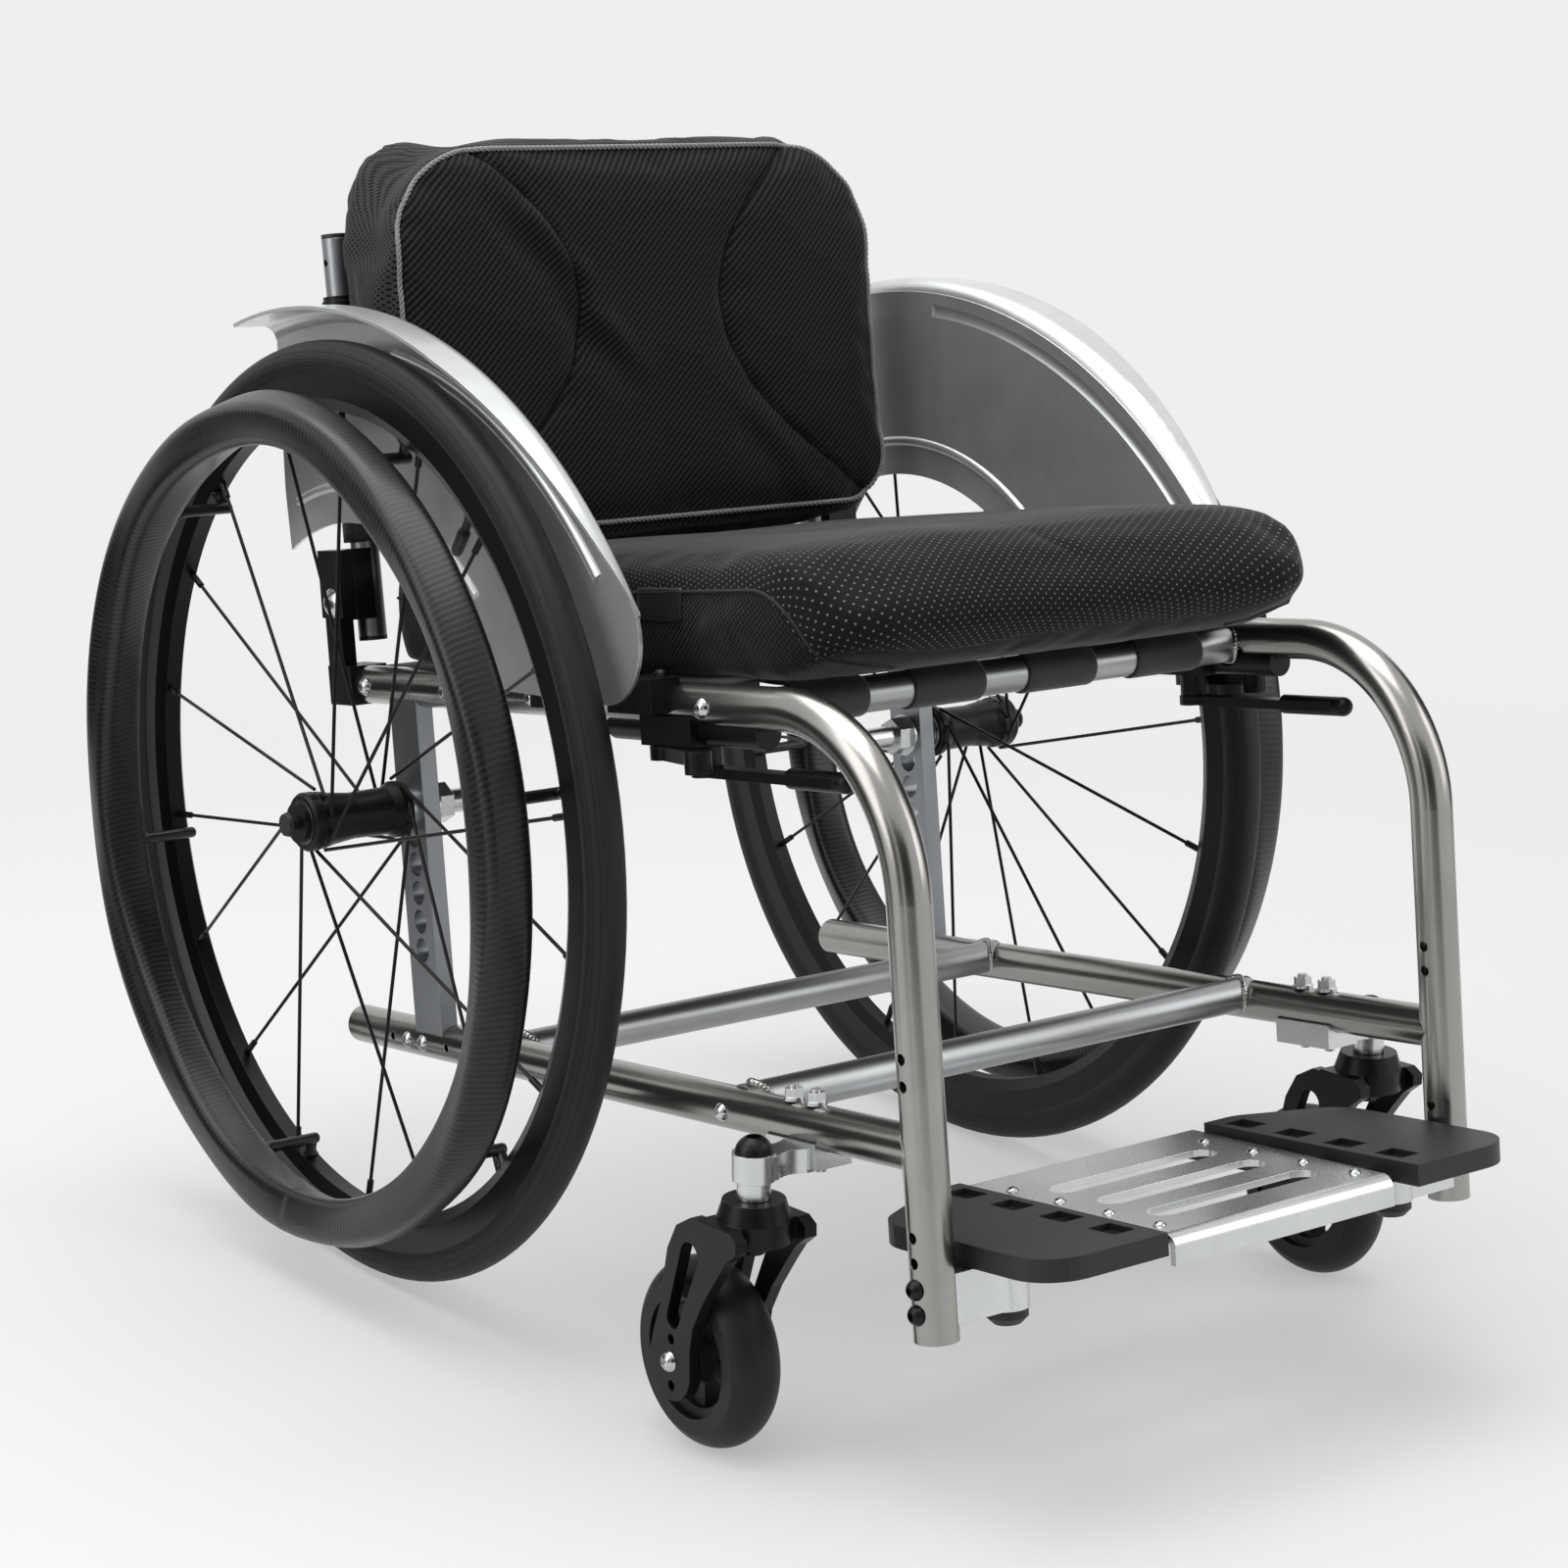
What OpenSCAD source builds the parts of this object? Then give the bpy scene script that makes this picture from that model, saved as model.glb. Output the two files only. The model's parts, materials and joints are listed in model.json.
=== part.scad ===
// Sports wheelchair: bent tube frame, spoked drive wheels with push rims, swivelling casters,
// hinged back with a padded cushion, seat cushion on a sling, side guards, wheel locks and a footrest.
// Millimetres, Z up, the chair faces -Y, the floor is Z = 0 and the drive axle lies above Y = 0.
// The frame is drawn level and then tilted up at the front; the wheels and casters stand upright.

/* [Frame] */
// Angle by which the frame is tilted up at the front
frame_pitch = 6.5; // [4:0.5:9]
// Half the distance between the side tubes
side_x = 201; // [190:1:215]
// Outside diameter of the side and lower tubes
tube_d = 25.4; // [23:0.1:27]
// Wall of the frame tubes
tube_wall = 2; // [1:0.1:3]
// Height of the seat rail above the drive axle
rail_rise = 77.5; // [68:0.5:88]
// Rear end of the seat rail
rail_rear = 25; // [15:1:40]
// Front leg position
leg_y = -543; // [-560:1:-530]
// Radius of the bend between rail and leg
bend_r = 100; // [80:1:120]
// Lower end of the front leg
leg_bottom = 40; // [35:1:50]
// Height of the lower tube above the datum line
lower_z = 145; // [138:1:152]
// Rear end of the lower tube
lower_rear = 73; // [50:1:90]
// Outside diameter of the cross tubes
cross_d = 22; // [18:0.5:24]
// Height of the lower cross tubes
cross_z = 149; // [145:1:153]
// Position of the rear lower cross tube
rear_cross_y = -120; // [-160:1:-80]
// Position of the front lower cross tube
front_cross_y = -375; // [-380:1:-300]
// Position of the seat's front cross tube
seat_cross_y = -383; // [-400:1:-360]
// Drop of the seat's front cross tube below the rail
seat_cross_drop = 4; // [2:0.5:6]
// Diameter of the spare clamp holes in the legs
leg_hole_d = 6.5; // [5:0.1:8]

/* [Axle posts] */
// Distance of the axle post's middle from the chair's middle, past the side tube
post_offset = 5; // [3:0.5:7]
// Thickness of the axle post
post_t = 12; // [10:0.5:14]
// Width of the axle post
post_w = 34; // [28:1:40]
// Diameter of the receiver holes in the axle post
receiver_d = 16; // [15:0.5:18]
// Spacing of the receiver holes
receiver_pitch = 19; // [18:0.5:22]
// Number of receiver holes, counted down from the axle
receiver_count = 6; // [3:1:7]

/* [Drive wheels] */
// Outside radius of the tyre
wheel_r = 304.5; // [295:0.5:315]
// Radius of the tyre's section
tyre_r = 12.5; // [11:0.5:14]
// Distance of the wheel's middle plane from the chair's middle
wheel_x = 253; // [250:1:260]
// Radial depth of the rim
rim_depth = 25; // [20:1:32]
// Width of the rim
rim_w = 20; // [18:0.5:22]
// Spokes in one wheel
spoke_count = 18; // [12:2:24]
// Spoke diameter
spoke_d = 2.4; // [1.8:0.1:3]
// Length of the hub inboard of the wheel's middle plane
hub_in = 34; // [32:0.5:36]
// Length of the hub outboard of the wheel's middle plane
hub_out = 39; // [36:0.5:44]
// Diameter of the quick release axle
axle_d = 12.7; // [12:0.1:13]
// Travel of the release button
button_travel = 5; // [3:0.5:6]

/* [Push rims] */
// Distance of the push rim's middle in from the tyre's tread
hand_drop = 46.5; // [42:0.5:55]
// Distance of the push rim from the wheel's middle plane
hand_out = 48; // [44:1:52]
// Radial height of the push rim's oval section
hand_h = 30; // [26:1:34]
// Axial width of the push rim's oval section
hand_w = 32; // [26:1:34]
// Height of the grip waves
hand_wave = 2; // [0:0.5:3]
// Grip waves and standoffs in one turn
hand_waves = 6; // [4:1:8]

/* [Casters] */
// Distance of the caster stem from the chair's middle
stem_x = 243; // [240:1:250]
// Caster stem position
stem_y = -424; // [-430:1:-418]
// Trail of the caster wheel behind its stem
trail = 44; // [38:1:46]
// Radius of the caster wheel
caster_r = 56; // [50:1:58]
// Width of the caster tyre
caster_w = 34; // [28:1:36]
// Top of the fork crown above the floor
crown_z = 160; // [156:1:162]
// Diameter of the caster stem
stem_d = 12; // [10:0.5:12.5]
// Diameter of the caster's axle bolt
caster_axle_d = 8; // [6:0.5:9]

/* [Seat and back] */
// Half the width of the seat cushion
seat_half_w = 196; // [184:1:199]
// Front end of the seat cushion
seat_front = -485; // [-492:1:-470]
// Rear end of the seat cushion
seat_rear = 20; // [5:1:22]
// Height of the seat cushion at its edge
seat_edge_h = 69; // [58:1:69]
// Extra height of the seat cushion's crown
seat_crown = 8; // [4:1:9]
// Half the width of the back cushion
back_half_w = 202; // [185:1:206]
// Height of the back cushion
back_h = 266; // [240:1:290]
// Thickness of the back cushion at its edge
back_t = 63; // [50:1:66]
// Bulge of the back cushion's front
back_crown = 8; // [4:1:10]
// Outside diameter of the back posts
back_post_d = 19; // [17:0.5:20]
// Distance of the back posts from the chair's middle
back_post_x = 187; // [185:0.5:188]
// Height of the back hinge above the seat rail
hinge_up = 55; // [50:1:60]
// Distance of the back hinge behind the rail's end
hinge_back = 18; // [16:1:22]
// Length of the back posts above the hinge
back_post_up = 240; // [220:1:260]

/* [Side guards] */
// Distance of the guard plate from the chair's middle
guard_x = 226; // [224:0.5:230]
// Thickness of the guard sheet
guard_t = 2.5; // [2:0.5:4]
// Width of the fender flange over the tyre
guard_flange = 32; // [28:1:40]
// Height of the guard's crown above the drive wheel's tyre
guard_rise = 20; // [16:1:26]

/* [Wheel locks] */
// Swing of the brake arm from its rest to the tyre
arm_swing = 60; // [50:1:64]
// Distance of the brake arm's pivot behind its pad when the lock is on
arm_behind = 14; // [10:1:18]
// Position of the brake lever's pivot
lever_pivot_y = -350; // [-356:1:-344]
// Length of the brake lever
lever_l = 140; // [110:1:150]
// Radius of the brake pad
pad_r = 8; // [6:0.5:9]

/* [Footrest] */
// Height of the footrest's side plates above the datum line
foot_z = 91; // [86:1:96]
// Thickness of the footrest's side plates
foot_t = 13; // [11:1:16]
// Half the gap between the footrest's side plates
foot_gap = 97; // [90:1:104]
// Outer reach of the footrest's side plates
foot_reach = 183; // [176:1:186]
// Front edge of the footrest
foot_front = -618; // [-630:1:-605]
// Rear edge of the footrest
foot_rear = -440; // [-450:1:-430]
// Thickness of the middle panel
panel_t = 4; // [3:0.5:4.5]

/* [Hidden] */
$fn = 64;

titanium = [0.62, 0.60, 0.56];
alloy = [0.74, 0.75, 0.76];
black = [0.07, 0.07, 0.08];
rubber = [0.09, 0.09, 0.09];
cloth = [0.12, 0.12, 0.13];
silver_paint = [0.70, 0.71, 0.72];

// Clearance of welded or seated joints, of running shafts and of fixed screws
seat_gap = 0.1;
run_gap = 0.03;
hole_gap = 0.2;
// Clearance between soft pieces and what carries them
soft_gap = 0.3;

// Drive axle seen in the level frame
axle_y = -wheel_r * sin(frame_pitch);
axle_z = wheel_r * cos(frame_pitch);
tube_r = tube_d / 2;
bore_r = tube_r - tube_wall;
cross_r = cross_d / 2;
rail_z = axle_z + rail_rise;
seat_cross_z = rail_z - seat_cross_drop;
post_x = side_x + post_offset;
post_in = post_x - post_t / 2;
post_out = post_x + post_t / 2;
hub_inner_x = wheel_x - hub_in;
hub_outer_x = wheel_x + hub_out;
axle_r = axle_d / 2;
// Screws along the rail and the lower tube, on the outer face
rail_screws = [rail_rear - 14, rail_rear - 118, rail_rear - 222, leg_y + bend_r + 64];
lower_screws = [lower_rear - 81, lower_rear - 101, front_cross_y + 5];
lower_holes = [lower_rear - 61, lower_rear - 131];
screw_d = 5;
// Clamp holes and clamp bolts of the legs
leg_holes = [lower_z + 52, lower_z + 37, foot_z + 8, foot_z - 6];
leg_bolt_zs = [leg_bottom + 30.5, leg_bottom + 16.5];

// The chair's middle, between the footrest's front edge and the rear of the tyres, stands on Y = 0
foot_low = foot_z - foot_t;
front_reach = foot_front * cos(frame_pitch) + foot_low * sin(frame_pitch);
middle_y = -(wheel_r + front_reach) / 2;

// Upright pieces, measured from the floor below the drive axle
module standing() {
    translate([0, middle_y, 0]) children();
}

// Frame pieces, drawn level and tilted up at the front
module framed() {
    standing() rotate([-frame_pitch, 0, 0]) children();
}

// The piece on the left, where X is positive, and its mirror image on the right
module on_side(left) {
    mirror([left ? 0 : 1, 0, 0]) children();
}

module both_sides() {
    children();
    mirror([1, 0, 0]) children();
}

module rod_x(x, y, z, r, length) {
    translate([x, y, z]) rotate([0, 90, 0]) cylinder(r = r, h = length);
}

module rod_y(x, y, z, r, length) {
    translate([x, y, z]) rotate([-90, 0, 0]) cylinder(r = r, h = length);
}

module box(low, high) {
    translate(low) cube(high - low);
}

// Domed screw standing on Z = 0 with its shank below and a hexagon socket
module button_screw(head_d, head_h, shank_d, shank_l) {
    dome_r = (head_h * head_h + head_d * head_d / 4) / (2 * head_h);
    difference() {
        union() {
            intersection() {
                translate([0, 0, head_h - dome_r]) sphere(r = dome_r);
                cylinder(d = head_d, h = head_h);
            }
            translate([0, 0, -shank_l]) cylinder(d = shank_d, h = shank_l + head_h / 4);
        }
        translate([0, 0, head_h * 0.45]) cylinder(d = head_d * 0.45, h = head_h, $fn = 6);
    }
}

// Frame tubes

// Rail, bend and leg as one bar of radius r, longer by extra at both ends
module side_bar(r, extra) {
    rod_y(side_x, leg_y + bend_r, rail_z, r, rail_rear - leg_y - bend_r + extra);
    translate([side_x, leg_y + bend_r, rail_z - bend_r]) rotate([90, 0, -90])
        rotate_extrude(angle = 90) translate([bend_r, 0]) circle(r = r);
    translate([side_x, leg_y, leg_bottom - extra])
        cylinder(r = r, h = rail_z - bend_r - leg_bottom + extra);
}

module rail_solid(r) {
    rod_y(side_x, leg_y + bend_r, rail_z, r, rail_rear - leg_y);
}

module leg_solid(r) {
    translate([side_x, leg_y, 0]) cylinder(r = r, h = rail_z - bend_r);
}

module lower_solid(r) {
    rod_y(side_x, leg_y - tube_d, lower_z, r, lower_rear - leg_y + 2 * tube_d);
}

module side_tube(left) {
    color(titanium) framed() on_side(left) difference() {
        side_bar(tube_r, 0);
        side_bar(bore_r, 1);
        for (y = rail_screws)
            rod_x(side_x, y, rail_z, screw_d / 2 + hole_gap, tube_d);
        for (z = leg_holes)
            rod_x(side_x - tube_d, leg_y, z, leg_hole_d / 2, 2 * tube_d);
        for (z = leg_bolt_zs)
            rod_x(side_x - tube_d, leg_y, z, leg_hole_d / 2, 2 * tube_d);
    }
}

module side_tube_left() { side_tube(true); }
module side_tube_right() { side_tube(false); }

caster_bolt_ys = [leg_y + 117, leg_y + 96];
caster_bolt_d = 6;

module lower_tubes() {
    color(titanium) framed() both_sides() difference() {
        rod_y(side_x, leg_y + 1, lower_z, tube_r, lower_rear - leg_y - 1);
        rod_y(side_x, leg_y, lower_z, bore_r, lower_rear - leg_y + 1);
        leg_solid(tube_r + seat_gap);
        for (y = concat(lower_screws, lower_holes))
            rod_x(side_x, y, lower_z, screw_d / 2 + hole_gap, tube_d);
        for (y = caster_bolt_ys)
            translate([side_x, y, lower_z - tube_d])
                cylinder(d = caster_bolt_d + 2 * hole_gap, h = 2 * tube_d);
    }
}

module axle_posts() {
    color(alloy) framed() both_sides() difference() {
        box([post_in, axle_y - post_w / 2, lower_z], [post_out, axle_y + post_w / 2, rail_z]);
        rail_solid(tube_r + seat_gap);
        lower_solid(tube_r + seat_gap);
        for (k = [0 : receiver_count - 1])
            rod_x(post_in - 1, axle_y, axle_z - k * receiver_pitch, receiver_d / 2, post_t + 2);
    }
}

module cross_tube(y, z) {
    difference() {
        rod_x(-side_x, y, z, cross_r, 2 * side_x);
        rod_x(-side_x - 1, y, z, cross_r - tube_wall, 2 * side_x + 2);
        both_sides() lower_solid(tube_r + seat_gap);
        both_sides() rail_solid(tube_r + seat_gap);
    }
}

module lower_cross_tubes() {
    color(alloy) framed() {
        cross_tube(rear_cross_y, cross_z);
        cross_tube(front_cross_y, cross_z);
    }
}

module seat_cross_tube() {
    color(alloy) framed() cross_tube(seat_cross_y, seat_cross_z);
}

plug_l = 8;

module tube_plugs() {
    color(black) framed() both_sides() {
        rod_y(side_x, lower_rear - plug_l, lower_z, bore_r - run_gap, plug_l);
        translate([side_x, leg_y, leg_bottom]) cylinder(r = bore_r - run_gap, h = plug_l);
    }
}

// Fasteners of the frame

caster_arm_low = lower_z - tube_r - 9;

module frame_screws() {
    color(alloy) framed() both_sides() {
        for (y = rail_screws)
            translate([side_x + tube_r, y, rail_z]) rotate([0, 90, 0]) button_screw(12, 4, screw_d, 5);
        for (y = lower_screws)
            translate([side_x + tube_r, y, lower_z]) rotate([0, 90, 0]) button_screw(11, 3.5, screw_d, 5);
        for (y = caster_bolt_ys)
            translate([side_x, y, lower_z + tube_r]) {
                cylinder(d = 13, h = 2);
                translate([0, 0, 2]) cylinder(d = 11.5, h = 5, $fn = 6);
                translate([0, 0, caster_arm_low - lower_z - tube_r - 4])
                    cylinder(d = caster_bolt_d, h = lower_z + tube_r - caster_arm_low + 13);
            }
        translate([hinge_out, hinge_y, hinge_z]) rotate([0, 90, 0])
            button_screw(20, 4, hinge_bolt_d, hinge_out - back_post_x - back_post_d / 2 - 1);
    }
}

guard_bolt_ys = [leg_y + 207, leg_y + 233, leg_y + 318];
clamp_in = side_x + 4;
clamp_low = rail_z - 4;
clamp_high = rail_z + tube_r + 4;
hinge_y = rail_rear + hinge_back;
hinge_z = rail_z + hinge_up;
hinge_in = side_x + 5;
hinge_out = side_x + 15;
hinge_bolt_d = 10;

module black_bolts() {
    color(black) framed() both_sides() {
        for (z = leg_bolt_zs)
            translate([side_x + tube_r, leg_y, z]) rotate([0, 90, 0])
                button_screw(12, 5, leg_hole_d - 2 * hole_gap, tube_d + 12);
        for (y = guard_bolt_ys)
            translate([side_x + 10, y, clamp_high]) button_screw(9, 4.5, 5, 5.5);
    }
}

// Axle receivers, their nuts and the quick release axles, in upright wheel coordinates

receiver_in = post_in - 48;
collar_d = 24;
washer_t = 3;
nut_t = 11;

module axle_receivers() {
    color(alloy) standing() both_sides() translate([0, 0, wheel_r]) difference() {
        union() {
            rod_x(receiver_in, 0, 0, receiver_d / 2 - run_gap, post_out - receiver_in + 1);
            rod_x(post_out, 0, 0, collar_d / 2, hub_inner_x - post_out - 0.5);
        }
        rod_x(receiver_in - 1, 0, 0, axle_r + run_gap, hub_inner_x);
    }
}

module receiver_nuts() {
    color(alloy) standing() both_sides() translate([0, 0, wheel_r]) difference() {
        union() {
            rod_x(post_in - washer_t, 0, 0, 15, washer_t);
            translate([post_in - washer_t - nut_t, 0, 0]) rotate([0, 90, 0])
                cylinder(d = 27, h = nut_t, $fn = 6);
        }
        rod_x(receiver_in, 0, 0, receiver_d / 2, post_out - receiver_in);
    }
}

head_t = 4;
button_r = 4;
axle_tip = receiver_in - 6;

module quick_release_axles() {
    color(alloy) standing() both_sides() translate([0, 0, wheel_r]) difference() {
        union() {
            rod_x(axle_tip, 0, 0, axle_r, hub_outer_x - axle_tip + 1);
            rod_x(hub_outer_x + 0.3, 0, 0, 13, head_t);
        }
        rod_x(hub_outer_x - 20, 0, 0, button_r + run_gap, 40);
    }
}

module release_button(left) {
    color(black) standing() on_side(left)
    translate([hub_outer_x + 0.3 + head_t, 0, wheel_r]) rotate([0, 90, 0]) {
        translate([0, 0, -10]) cylinder(r = button_r, h = 10 + button_travel + 0.5);
        translate([0, 0, button_travel + 0.5]) cylinder(r1 = 8, r2 = 7, h = 3);
    }
}

module release_button_left() { release_button(true); }
module release_button_right() { release_button(false); }

// Drive wheels, drawn round Z with Z pointing outboard

bead_r = wheel_r - 2 * tyre_r;
rim_in = bead_r + 6 - rim_depth;
flange_r = 18.5;
flange_in = 5 - hub_in;
flange_out = hub_out - 11;

module at_wheel(left) {
    standing() on_side(left) translate([wheel_x, 0, wheel_r]) rotate([0, 90, 0]) children();
}

module rim_profile() {
    w = rim_w / 2;
    polygon([[rim_in, -w * 0.55], [rim_in + 8, -w], [bead_r + 6, -w], [bead_r + 6, 2.2 - w],
             [bead_r, 3 - w], [bead_r - 2, 0], [bead_r, w - 3], [bead_r + 6, w - 2.2],
             [bead_r + 6, w], [rim_in + 8, w], [rim_in, w * 0.55]]);
}

module tyre(left) {
    color(rubber) at_wheel(left) rotate_extrude() difference() {
        translate([wheel_r - tyre_r, 0]) circle(r = tyre_r);
        rim_profile();
    }
}

module tyre_left() { tyre(true); }
module tyre_right() { tyre(false); }

module rim(left) {
    color(black) at_wheel(left) rotate_extrude() rim_profile();
}

module rim_left() { rim(true); }
module rim_right() { rim(false); }

// A spoke leaves its hub flange nearly along the tangent and ends in a nipple at the rim
module spoke(index) {
    outer = index % 2;
    turn = outer ? 72 : -72;
    from = [(flange_r + 1.6) * cos(turn), (flange_r + 1.6) * sin(turn), outer ? flange_out : flange_in];
    to = [rim_in - 0.2, 0, outer ? 2 : -2];
    run = to - from;
    length = norm(run);
    rotate([0, 0, index * 360 / spoke_count]) translate(from)
        rotate([0, acos(run[2] / length), atan2(run[1], run[0])]) {
            cylinder(d = spoke_d, h = length - 6);
            translate([0, 0, length - 13]) cylinder(d = spoke_d + 2, h = 12.5);
        }
}

module spokes(left) {
    color(black) at_wheel(left) for (k = [0 : spoke_count - 1]) spoke(k);
}

module spokes_left() { spokes(true); }
module spokes_right() { spokes(false); }

bearing_r = 14.3;
bearing_w = 8;

module hub(left) {
    color(black) at_wheel(left) rotate_extrude()
        polygon([[axle_r + 2, bearing_w - hub_in], [bearing_r, bearing_w - hub_in], [bearing_r, -hub_in],
                 [17.5, -hub_in], [17.5, flange_in - 2.5], [flange_r, flange_in - 2],
                 [flange_r, flange_in + 2], [15.5, flange_in + 8], [15, 4], [17, flange_out - 8],
                 [flange_r, flange_out - 2], [flange_r, flange_out + 2], [19, flange_out + 3],
                 [19, hub_out - 2], [17.5, hub_out], [bearing_r, hub_out],
                 [bearing_r, hub_out - bearing_w], [axle_r + 2, hub_out - bearing_w]]);
}

module hub_left() { hub(true); }
module hub_right() { hub(false); }

module hub_bearings(left) {
    color(alloy) at_wheel(left) for (z = [-hub_in, hub_out - bearing_w]) translate([0, 0, z]) difference() {
        cylinder(r = bearing_r - run_gap, h = bearing_w);
        translate([0, 0, -1]) cylinder(r = axle_r + run_gap, h = bearing_w + 2);
    }
}

module hub_bearings_left() { hub_bearings(true); }
module hub_bearings_right() { hub_bearings(false); }

// Push rim: an oval bar round the wheel whose radius rises and falls in grip waves
hand_steps = 72;
hand_sides = 10;
// The oval is tilted a little, so that its outer face looks upwards
hand_tilt = 8;
hand_r = wheel_r - hand_drop;
standoff_r = 4;
// The standoffs lie inside the rim, and a lug joins each one to the rim's inner face
standoff_ring = rim_in - 12.5;
standoff_turn = 17;

function hand_point(turn, round) =
    let (u = hand_w / 2 * cos(round), v = hand_h / 2 * sin(round),
         grip = hand_r + hand_wave * cos(hand_waves * turn) - hand_wave / 2,
         radius = grip + v * cos(hand_tilt) - u * sin(hand_tilt))
    [radius * cos(turn), radius * sin(turn), hand_out + u * cos(hand_tilt) + v * sin(hand_tilt)];

hand_points = [for (i = [0 : hand_steps - 1]) for (j = [0 : hand_sides - 1])
               hand_point(i * 360 / hand_steps, j * 360 / hand_sides)];

function hand_index(i, j) = (i % hand_steps) * hand_sides + j % hand_sides;

hand_faces = [for (i = [0 : hand_steps - 1]) for (j = [0 : hand_sides - 1]) for (half = [0, 1])
              half == 0 ? [hand_index(i, j), hand_index(i + 1, j), hand_index(i + 1, j + 1)]
                        : [hand_index(i, j), hand_index(i + 1, j + 1), hand_index(i, j + 1)]];

module push_rim(left) {
    standoff_top = hand_out - hand_w / 2 * cos(hand_tilt) + 1;
    lug_h = rim_in - 0.3 - standoff_ring;
    color(black) at_wheel(left) {
        polyhedron(points = hand_points, faces = hand_faces, convexity = 6);
        for (k = [0 : hand_waves - 1]) rotate([0, 0, standoff_turn + k * 360 / hand_waves]) {
            translate([standoff_ring, 0, -5]) cylinder(r = standoff_r, h = standoff_top + 5);
            translate([standoff_ring, -3, -4]) cube([lug_h, 6, 8]);
        }
    }
}

module push_rim_left() { push_rim(true); }
module push_rim_right() { push_rim(false); }

// Casters, upright, round the stem

boss_r = 12.5;
boss_low = crown_z + 11;
boss_high = boss_low + 16;
// A turned spacer stands between the fork crown and the boss
spacer_r = boss_r - 2.8;
// The wheel's middle, seen from the stem
caster_y = stem_y + trail;
fork_in = caster_w / 2 + 3;
fork_t = 8;
fork_out = fork_in + fork_t;
core_r = caster_r - 16;

module caster_arms() {
    color(alloy) both_sides() difference() {
        union() {
            framed() box([side_x - tube_r, leg_y + 84, caster_arm_low],
                         [side_x + tube_r, leg_y + 130, lower_z - tube_r / 2]);
            standing() difference() {
                box([side_x, stem_y - boss_r + 1, boss_low + 1],
                    [stem_x, stem_y + boss_r - 1, boss_high - 1]);
                for (s = [-1, 1]) translate([stem_x - boss_r - 6, stem_y + s * (boss_r + 11), boss_low])
                    cylinder(r = boss_r + 3, h = boss_high - boss_low);
            }
            standing() translate([stem_x, stem_y, 0]) {
                translate([0, 0, boss_low]) cylinder(r = boss_r, h = boss_high - boss_low);
                translate([0, 0, crown_z + 0.3]) cylinder(r = spacer_r, h = boss_low - crown_z);
            }
        }
        framed() lower_solid(tube_r + seat_gap);
        standing() translate([stem_x, stem_y, crown_z - 1])
            cylinder(d = stem_d + 2 * run_gap, h = boss_high);
        framed() for (y = caster_bolt_ys)
            translate([side_x, y, caster_arm_low - 5])
                cylinder(d = caster_bolt_d + 2 * hole_gap, h = tube_d + 20);
    }
}

module kingpins() {
    color(alloy) standing() both_sides() translate([stem_x, stem_y, 0]) {
        translate([0, 0, neck_low - 8]) cylinder(d = stem_d, h = boss_high - neck_low + 10);
        translate([0, 0, boss_high]) button_screw(22, 10, stem_d, 1);
        translate([0, 0, neck_low - 6.3]) cylinder(d = 17, h = 6, $fn = 6);
    }
}

// Outline of a fork arm seen from the side, measured from the wheel's axle, with its tapered slot
module fork_outline() {
    difference() {
        union() {
            polygon([[20, -3], [16, 13], [9, 31], [5, 51], [1, 68], [-8, 84], [-22, 92], [-58, 93],
                     [-65, 89], [-65, 82], [-56, 75], [-46, 62], [-33, 44], [-23, 26], [-20, 11], [-20, -3]]);
            translate([0, -3]) circle(r = 20);
        }
        translate([-4, 27]) circle(r = 6);
        translate([-20.5, 68.5]) circle(r = 8.5);
        polygon([[1.6, 29.2], [-12.6, 71.6], [-28.4, 65.4], [-9.6, 24.8]]);
        for (z = [-14, 14]) translate([-2, z]) circle(r = 3.2);
    }
}

neck_low = crown_z - 24;
neck_high = crown_z - 11;
neck_r = 21.5;

module caster_fork(left) {
    color(black) standing() on_side(left) difference() {
        union() {
            for (x = [stem_x - fork_out, stem_x + fork_in])
                translate([x, caster_y, caster_r]) rotate([90, 0, 90])
                    linear_extrude(height = fork_t) fork_outline();
            box([stem_x - fork_out + 1, stem_y - 13, neck_low],
                [stem_x + fork_out - 1, stem_y + 16, neck_high]);
            translate([stem_x, stem_y, neck_low]) cylinder(r = neck_r, h = neck_high - neck_low);
            translate([stem_x, stem_y, neck_high]) cylinder(r1 = neck_r, r2 = 18, h = crown_z - neck_high);
        }
        translate([stem_x, stem_y, neck_low - 5]) cylinder(d = stem_d + 2 * run_gap, h = 60);
        rod_x(stem_x - 60, caster_y, caster_r, caster_axle_d / 2 + run_gap, 120);
    }
}

module caster_fork_left() { caster_fork(true); }
module caster_fork_right() { caster_fork(false); }

module caster_axle(left) {
    color(alloy) standing() on_side(left) translate([stem_x, caster_y, caster_r]) {
        rod_x(-fork_out - 3, 0, 0, caster_axle_d / 2, 2 * fork_out + 4);
        translate([fork_out, 0, 0]) rotate([0, 90, 0]) button_screw(13, 4.5, caster_axle_d, 1);
        translate([-fork_out - 6, 0, 0]) rotate([0, 90, 0]) cylinder(d = 13, h = 6, $fn = 6);
        for (s = [-1, 1]) difference() {
            rod_x(s * (fork_in - 1.5) - 1.45, 0, 0, 7, 2.9);
            rod_x(-fork_in - 1, 0, 0, caster_axle_d / 2 - 0.5, 2 * fork_in + 2);
        }
    }
}

module caster_axle_left() { caster_axle(true); }
module caster_axle_right() { caster_axle(false); }

module at_caster(left) {
    standing() on_side(left) translate([stem_x, caster_y, caster_r]) rotate([0, 90, 0]) children();
}

caster_bearing_r = 11;
caster_bearing_w = 7;
core_spokes = 5;

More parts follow.
